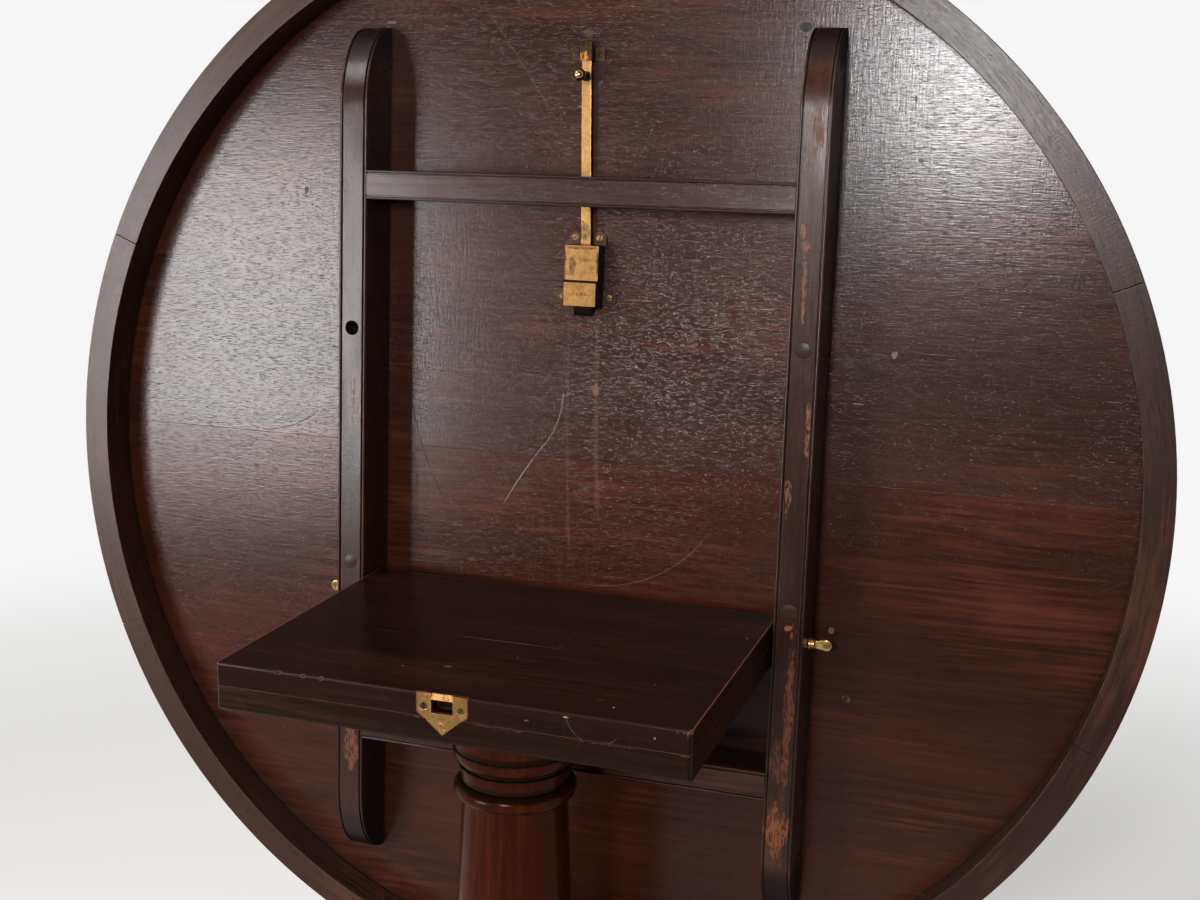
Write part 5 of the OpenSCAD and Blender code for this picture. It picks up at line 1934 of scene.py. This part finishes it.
@dataclass
class Block(SubAssembly):
    """The pivot block with its strike plate, its screws and its inserts."""

    body: str = "base"
    half: float = 231 * MM
    front: float = -335 * MM
    radius: float = 25 * MM
    bottom: float = -22 * MM
    seam: float = 1.8 * MM
    column: float = -155 * MM
    slot_turns: tuple[float, ...] = (82, 60, -25)
    soft: float = 2.2 * MM
    dents: tuple[Point, ...] = ((-165.7 * MM, 5 * MM), (-139.7 * MM, 3.4 * MM), (-121.3 * MM, 3 * MM))

    def plan(self) -> list[Point]:
        """Draws the plan of the block, worn round at its front corners.

        Returns:
            The outline.
        """
        right, left, back = 5 * MM, 3 * MM, 1.2 * MM
        h, f, b = self.half, self.front, self.radius
        return [
            *arc(h - right, f + right, right, right, -90, 0, 8),
            *arc(h - back, b - back, back, back, 0, 90, 3),
            *arc(back - h, b - back, back, back, 90, 180, 3),
            *arc(left - h, f + left, left, left, 180, 270, 8),
        ]

    def side_view(self, upper: bool) -> list[Point]:
        """Draws one board of the block from the side, round at the back.

        Args:
            upper: True for the upper board.

        Returns:
            The outline.
        """
        f, r, s, low = self.front, self.radius, self.seam, self.bottom
        soft, fine = self.soft, 0.5 * MM
        if upper:
            return [
                *arc(f + fine, s + fine, fine, fine, 270, 180, 3),
                *arc(f + soft, r - soft, soft, soft, 180, 90, 6),
                *arc(0, 0, r, r, 90, math.degrees(math.asin(s / r)), 20),
            ]
        return [
            *arc(0, 0, r, r, math.degrees(math.asin((s - 0.1 * MM) / r)), 0, 2),
            (r, low + 0.8 * MM),
            (r - 0.8 * MM, low),
            (f + 4 * MM, low),
            (f + 1.2 * MM, low + 1.6 * MM),
            (f, low + 4 * MM),
            *arc(f + fine, s - fine, fine, fine, 180, 90, 3),
        ]

    def dent(self, x: float, size: float) -> Piece:
        """Makes the ball that cuts a dent into the upper front edge.

        Args:
            x: Place along the edge.
            size: Radius of the ball.

        Returns:
            The ball.
        """
        ball = lathe("dent", [(CORE, -size), *arc(0, 0, size, size, -78, 78, 12), (CORE, size)], 24)
        off = (size - 1 * MM + self.soft) / math.sqrt(2) - self.soft
        return place(ball, at(x, self.front - off, self.radius + off))

    def board(self, name: str, upper: bool) -> Piece:
        """Makes one board of the block, with the cuts for tenon, inserts and strike plate.

        Args:
            name: Name of the piece.
            upper: True for the upper board.

        Returns:
            The board.
        """
        piece = prism(name, self.side_view(upper), -self.half - 0.001, self.half + 0.001, Axis.X)
        combine(piece, [prism("plan", self.plan(), -0.1, 0.1)], Way.KEEP)
        soften(piece, 0.7 * MM)
        hole = prism("mortise", rect(54.1 * MM, self.column - 24.6 * MM, self.column + 24.6 * MM), -0.1, 0.1)
        seats = []
        for side in (-1, 1):
            seat = lathe("seat", [(8.1 * MM, 0), (8.1 * MM, 0.04)], 40)
            seats.append(place(seat, at(side * (self.half - 0.03), 0) @ turn(side * 90, "Y")))
        f = self.front
        recess = prism("recess", self.strike_outline(0.15 * MM, 1 * MM), f - 0.01, f + 2.6 * MM, Axis.Y)
        pocket = prism("pocket", rect(10.5 * MM, 6.9 * MM, 19.5 * MM), f - 0.001, f + 14 * MM, Axis.Y)
        dents = [self.dent(x, size) for x, size in self.dents] if upper else []
        combine(piece, [hole, *seats, recess, pocket, *dents])
        return shade(place(piece, ON_BLOCK), 30)

    def strike_outline(self, fit: float = 0.0, over: float = 0.0) -> list[Point]:
        """Draws the strike plate: straight sides, then a point.

        Args:
            fit: Clearance round it.
            over: How far it stands out above the block.

        Returns:
            The outline.
        """
        h, top = 24 * MM + fit, self.radius + over
        shoulder, hip = 7 * MM - fit, -2.6 * MM - fit
        point = [(-13 * MM, hip), (0, -13.4 * MM - 1.4 * fit), (13 * MM, hip)]
        return [(-h, top), (-h, shoulder), *point, (h, shoulder), (h, top)]

    def strike(self) -> Piece:
        """Makes the strike plate with its slot, countersinks and worn ramp.

        Returns:
            The plate.
        """
        f = self.front
        plate = prism("strike", self.strike_outline(), f, f + 2.5 * MM, Axis.Y)
        cuts = [prism("slot", rect(10.4 * MM, 7 * MM, 19.4 * MM), f - 0.01, f + 0.01, Axis.Y)]
        ramp = [(f - 0.001, 19.4 * MM), (f, 19.4 * MM), (f + 2 * MM, 25.1 * MM), (f - 0.001, 25.1 * MM)]
        cuts.append(prism("ramp", ramp, -10.4 * MM, 10.4 * MM, Axis.X))
        for x, z in self.strike_screw_spots():
            profile = [(1.6 * MM, -0.005), *metres([(1.6, -2.1), (3.85, 0.05), (3.85, 1)])]
            cuts.append(place(lathe("sink", profile, 32), at(x, f, z) @ turn(90, "X")))
        combine(plate, cuts)
        return shade(place(soften(plate, 0.3 * MM), ON_BLOCK))

    @staticmethod
    def strike_screw_spots() -> list[Point]:
        """Places of the strike plate's screws, as (X, Z)."""
        return [(-18 * MM, 12.6 * MM), (18 * MM, 12.6 * MM), (0.0, -5.0 * MM)]

    def insert(self, side: int) -> Piece:
        """Makes a threaded insert, its thread shown as fine rings in the bore.

        Args:
            side: 1 for the right one, -1 for the left one.

        Returns:
            The insert.
        """
        rings = [(4.56 * MM + (0.25 * MM if k % 2 else 0.0), k * 0.75 * MM) for k in range(41)]
        profile = [*metres([(8, 0.4), (7.6, 0)]), *rings, *metres([(7.6, 30), (8, 29.6)])]
        piece = lathe(f"insert_{'right' if side > 0 else 'left'}_end", profile, 48, closed=True)
        return shade(place(piece, ON_BLOCK @ at(side * self.half, 0) @ turn(-90 * side, "Y")))

    def build(self) -> None:
        """Builds and dresses the block and its metalwork."""
        self.seat(self.board("block_over", True), BLOCK, "frame_mahogany", "block_upper")
        self.seat(self.board("block_under", False), BLOCK_UNDER, "frame_mahogany", "block_lower")
        self.seat(self.strike(), BRASS_RUBBED, "rubbed_brass", "strike_plate")
        screws = []
        for k, (x, z) in enumerate(self.strike_screw_spots()):
            screw = slotted_screw(3.65 * MM, 0.3 * MM, 1.5 * MM, 18 * MM, self.slot_turns[k], 2.1 * MM)
            screws.append(place(coat(screw, k), at(x, self.front + 0.2 * MM, z) @ turn(90, "X")))
        screws = place(join("plate_screws", screws), ON_BLOCK)
        self.seat(screws, STEEL, "dark_steel", "strike_screws", also=[SCREW_BROWN, BRASS_RUBBED])
        self.seat(self.insert(-1), BRASS, "aged_brass", "insert_left")
        self.seat(self.insert(1), BRASS, "aged_brass", "insert_right")


@dataclass
class ThumbBolt(SubAssembly):
    """A bolt with a collar and a flat oval thumb plate."""

    side: int = 1
    outer: float = 265.56 * MM
    shank: float = 4.5 * MM
    collar: float = 6.5 * MM
    plate: float = 6 * MM

    def build(self) -> None:
        """Builds and dresses the bolt."""
        name = "right" if self.side > 0 else "left"
        collar = self.collar
        profile = [
            (CORE, -62.3 * MM),
            (3.6 * MM, -62.3 * MM),
            (self.shank, -61 * MM),
            (self.shank, 0),
            (collar - 0.5 * MM, 0),
            (collar, 0.5 * MM),
            (collar, 2.6 * MM),
            (collar - 1.2 * MM, 3.4 * MM),
            (collar - 1.4 * MM, 4.6 * MM),
            (collar - 0.6 * MM, 5.4 * MM),
            (collar - 0.6 * MM, 6.3 * MM),
            (collar - 1.6 * MM, 6.8 * MM),
            (CORE, 6.8 * MM),
        ]
        turned = lathe("turned", profile, 48)
        foot = metres([(-4.4, 8.2), (-3.6, 6.4), (3.6, 6.4), (4.4, 8.2)])
        oval = arc(0, 18.5 * MM, self.plate, self.plate, -30, 210, 28)
        outline = [*foot[1:], *oval, foot[0]]
        thumb = soften(prism("thumb", outline, -1.5 * MM, 1.5 * MM, Axis.Y), 0.8 * MM, 3)
        piece = shade(join(f"thumb_bolt_on_{name}", [turned, thumb]), 40)
        place(piece, ON_BLOCK @ at(self.side * self.outer, 0) @ turn(90 * self.side, "Y"))
        self.seat(piece, THUMB_BRASS, "aged_brass", f"thumb_bolt_{name}")


@dataclass
class Pedestal(SubAssembly):
    """The turned column with its tenons, the collar, the platform and the feet."""

    body: str = "base"
    axis_y: float = -75 * MM
    top: float = 660 * MM
    foot_reach: float = 300 * MM
    lobe: float = 61.9 * MM
    waist: float = 120 * MM
    foot: float = 75 * MM
    platform: float = 34 * MM
    corners: tuple[float, ...] = (90, 210, 330)
    collar: float = 41 * MM

    def column(self) -> Piece:
        """Makes the column: tenon, capital, ring and tapered shaft.

        Returns:
            The column.
        """
        top, low = self.top / MM, self.foot / MM
        foot_z = (self.top - self.foot - self.platform - self.collar) / MM
        slope = (70 - 54.4) / (foot_z - 16 - 135)
        down = [
            (77, 0),
            *arc(77, 3, 3, 3, -90, 0, 4),
            *arc(77, 15, 3, 3, 0, 90, 4),
            *arc(77, 62, 13, 41, -90, -180, 16),
            (64, 64),
            (62.5, 65.2),
            (62.5, 66.8),
            (64, 68),
            *arc(55, 71, 9, 12, 0, 72, 12),
            (55, 83),
            (55, 86),
            (57.4, 86.6),
            (57.4, 89.4),
            (56, 90),
            (55.6, 96),
            (55.4, 102),
            (54.6, 103),
            *arc(54.6, 112, 8.4, 9, -84, 84, 20),
            (55.2, 121),
            (54.4, 125),
            (54.4, 135),
            *[(54.4 + slope * (d - 135), d) for d in range(150, int(foot_z - 16), 30)],
            (70, foot_z - 16),
            *arc(75, foot_z - 16, 5, 12, 180, 90, 8),
            (75, foot_z),
        ]
        core = CORE / MM
        profile = [(core, top), *[(r, top - d) for r, d in down], (25, top - foot_z), (25, low), (core, low)]
        turned = shade(lathe("column_turned", metres(profile), 144), 34)
        tenon = prism("tenon", rect(54 * MM, -24.5 * MM, 24.5 * MM), self.top - 1 * MM, 707 * MM)
        soften(tenon, 0.5 * MM)
        return place(join("turned_column", [turned, coat(shade(tenon), 1)]), at(0, self.axis_y))

    def collar_ring(self) -> Piece:
        """Makes the turned collar round the foot of the column.

        Returns:
            The collar.
        """
        base = (self.foot + self.platform) / MM
        up = [
            (25.1, 0),
            (95, 0),
            *arc(95, 11, 10, 11, -90, 90, 16),
            (97, 22),
            (97, 25),
            *arc(96, 36, 14, 11, -90, -180, 12),
            (84, 36.6),
            *arc(84, 38.6, 1.6, 2, -60, 80, 5),
            (80, 41),
            (25.1, 41),
        ]
        ring = lathe("foot_collar", metres([(r, base + z) for r, z in up]), 144)
        return shade(place(ring, at(0, self.axis_y)), 34)

    def platform_outline(self, inset: float) -> list[Point]:
        """Draws the plan of the platform: three lobes and hollow sides.

        Args:
            inset: How far it is drawn in.

        Returns:
            The outline, about the column's axis.
        """
        over = self.lobe - self.waist
        dist = (self.foot_reach**2 - over**2) / (self.foot_reach + 2 * over)
        hollow = dist - self.waist + inset
        lobe = self.lobe - inset
        points: list[Point] = []
        for a in self.corners:
            corner, after = polar(self.foot_reach, a), polar(dist, a + 60)
            first, last = heading(corner, polar(dist, a - 60)), heading(corner, after)
            if last < first:
                last += 360
            points += arc(*corner, lobe, lobe, first, last, 28)
            start, stop = heading(after, corner), heading(after, polar(self.foot_reach, a + 120))
            if stop > start:
                stop -= 360
            if start - stop > 180:
                stop += 360
            points += arc(*after, hollow, hollow, start, stop, 36)[1:-1]
        return points

    def platform_board(self) -> Piece:
        """Makes the platform: a thick board with a moulded upper edge.

        Returns:
            The platform.
        """
        lo, hi = self.foot, self.foot + self.platform
        turns = [math.pi * k / 10 for k in range(6)]
        cove = [(5 + 3 * (1 - math.cos(t)), 29 + 5 * math.sin(t)) for t in turns]
        levels = [(1.2, 0.0), (0.0, 1.2), (0.0, 28.0), (0.8, 29.0), (4.2, 29.0), *cove, (9, 34.0)]
        rings = [[(x, y, lo + z * MM) for x, y in self.platform_outline(i * MM)] for i, z in levels]
        hole = lathe("hole", [(25.1 * MM, lo - 0.01), (25.1 * MM, hi + 0.01)], 64)
        return shade(place(combine(loft("lobed_platform", rings), [hole]), at(0, self.axis_y)), 34)

    def bun_foot(self, index: int, angle: float) -> Piece:
        """Makes a turned bun foot with its dowel.

        Args:
            index: Its number, from 1.
            angle: Its direction from the column in degrees.

        Returns:
            The foot.
        """
        core = CORE / MM
        up = [
            (core, 0),
            (31, 0),
            (32, 0.6),
            *arc(32, 28, 23, 28, -86, 60, 26),
            (36.5, 56),
            (36, 57),
            (36, 60),
            *arc(40, 66, 6, 6, -80, 80, 12),
            (38, 73),
            (38, 75),
            (12.5, 75),
            (12.5, 97),
            (core, 97),
        ]
        foot = shade(lathe(f"bun_foot_{index}", metres(up), 96), 34)
        x, y = polar(self.foot_reach, angle)
        return place(foot, at(x, self.axis_y + y))

    def build(self) -> None:
        """Builds and dresses column, collar, platform and feet."""
        self.seat(self.column(), COLUMN, "column_mahogany", "column", also=[BLOCK])
        self.seat(self.collar_ring(), COLUMN, "column_mahogany", "column_collar")
        self.seat(self.platform_board(), BASE, "frame_mahogany", "platform")
        for i, a in enumerate(self.corners, 1):
            self.seat(self.bun_foot(i, a), BASE, "frame_mahogany", f"foot_{i}")


# The studio


@dataclass
class Studio:
    """The floor, the backdrop, the lamps and the camera."""

    eye: Spot = (0.5411, -1.5266, 0.5257)
    yaw: float = 18.4286
    pitch: float = 11.9226
    roll: float = 1.1106
    focal: float = 1546.46
    photo_width: float = 1200
    sensor: float = 36.0
    pale: Colour = (0.68, 0.67, 0.65)
    dim: Colour = (0.16, 0.155, 0.15)
    level: float = 0.92
    gloom: float = 0.25
    turn: Point = (-0.25, -0.65)
    overhead: Point = (0.88, 0.66)
    near: float = 1.2
    away: float = 3.1
    edge: float = 50.0

    def camera(self) -> None:
        """Sets up the camera at the photograph's angle."""
        data = bpy.data.cameras.new("camera")
        data.sensor_width = self.sensor
        data.lens = self.focal / self.photo_width * self.sensor
        data.clip_start = 0.05
        data.clip_end = 60
        y, p, r = (math.radians(v) for v in (self.yaw, self.pitch, self.roll))
        ahead = Vector((-math.sin(y) * math.cos(p), math.cos(y) * math.cos(p), -math.sin(p)))
        right = Vector((math.cos(y), math.sin(y), 0))
        up = right.cross(ahead)
        right, up = right * math.cos(r) + up * math.sin(r), up * math.cos(r) - right * math.sin(r)
        facing = Matrix((right, up, -ahead)).transposed().to_4x4()
        camera = bpy.data.objects.new("camera", data)
        camera.matrix_world = Matrix.Translation(PIVOT + Vector(self.eye)) @ facing
        bpy.context.scene.collection.objects.link(camera)
        bpy.context.scene.camera = camera

    @staticmethod
    def lamp(name: str, spot: Spot, aim: Spot, size: Point, power: float, spread: float) -> None:
        """Adds a soft rectangular lamp.

        Args:
            name: Name of the lamp.
            spot, aim: Its place, and the point that it faces.
            size: Width and height in metres.
            power: Power in watts.
            spread: Angle of its beam in degrees.
        """
        data = bpy.data.lights.new(name, "AREA")
        data.shape = "RECTANGLE"
        data.size, data.size_y = size
        data.energy = power
        data.spread = math.radians(spread)
        lamp = bpy.data.objects.new(name, data)
        away = Vector(aim) - Vector(spot)
        lamp.matrix_world = Matrix.Translation(spot) @ away.to_track_quat("-Z", "Y").to_matrix().to_4x4()
        bpy.context.scene.collection.objects.link(lamp)

    @staticmethod
    def grey(g: Graph, level: Socket) -> Socket:
        """Returns a grey of this level."""
        return g.node("CombineColor", {0: level, 1: level, 2: level}).outputs[0]

    def floor(self) -> None:
        """A wide, plain, pale floor, whose far part is as bright as the surroundings."""
        ground = prism("floor", arc(0, 0, self.edge, self.edge, 0, 357, 119), -0.02, 0.0)
        mat = bpy.data.materials.new("pale_floor")
        g = cleared(mat)
        where = g.node("TexCoord").outputs["Object"]
        far = g.length(where)
        _, y, _ = g.split(where)
        level = g.between(g.spread(g.math("DIVIDE", y, far), *self.turn), self.level, self.gloom)
        path = g.node("LightPath").outputs
        seen = g.math("MAXIMUM", path["Is Glossy Ray"], path["Is Transmission Ray"])
        seen = g.math("MAXIMUM", path["Is Camera Ray"], seen)
        colour = g.mix(seen, self.dim, self.pale)
        near = g.node("BsdfPrincipled", {"Base Color": colour, "Roughness": 0.8, "Specular IOR Level": 0.1})
        bright = g.node("Emission", {"Color": self.grey(g, level), "Strength": 1.0})
        share = g.math("MULTIPLY", g.spread(far, self.near, self.away), seen)
        g.finish(g.node("MixShader", {0: share, 1: near.outputs[0], 2: bright.outputs[0]}))
        ground.data.materials.append(mat)

    def sky(self) -> None:
        """Pale surroundings, dark on the side that faces the underside of the top."""
        world = bpy.data.worlds.new("studio")
        bpy.context.scene.world = world
        g = cleared(world)
        _, y, z = g.split(g.node("TexCoord").outputs["Generated"])
        front = g.math("MULTIPLY", g.spread(y, *self.turn), g.spread(z, *self.overhead))
        tint = self.grey(g, g.between(front, self.level, self.gloom))
        g.finish(g.node("Background", {"Color": tint, "Strength": 1.0}), "OutputWorld")

    def build(self) -> None:
        """Sets up the whole studio."""
        self.camera()
        self.floor()
        self.sky()
        self.lamp("left_softbox", (-1.74, -2.1, 0.90), (-0.33, 0.1, 1.00), (0.8, 0.96), 18.5, 90)
        self.lamp("right_softbox", (0.10, -2.9, 1.65), (0.1, 0.1, 0.95), (0.4, 0.5), 20, 90)
        self.lamp("key", (-1.7, -1.7, 2.9), (-0.05, 0.0, 0.8), (0.9, 0.9), 12, 100)
        bpy.context.scene.view_settings.view_transform = "Standard"


def main() -> None:
    """Builds the table sub-assembly by sub-assembly."""
    logging.basicConfig(level=logging.INFO, format="%(name)s: %(message)s")
    finishes = Finishes()
    Studio().build()
    parts: list[SubAssembly] = [
        RoundTop(finishes),
        Frame(finishes),
        CatchCase(finishes),
        CatchBolt(finishes),
        Block(finishes),
        ThumbBolt(finishes, body="thumb_bolt_l", side=-1),
        ThumbBolt(finishes, body="thumb_bolt_r", side=1),
        Pedestal(finishes),
    ]
    for part in parts:
        part.build()
        LOG.info("%s: %d pieces", type(part).__name__, part.count)


if __name__ == "__main__":
    main()
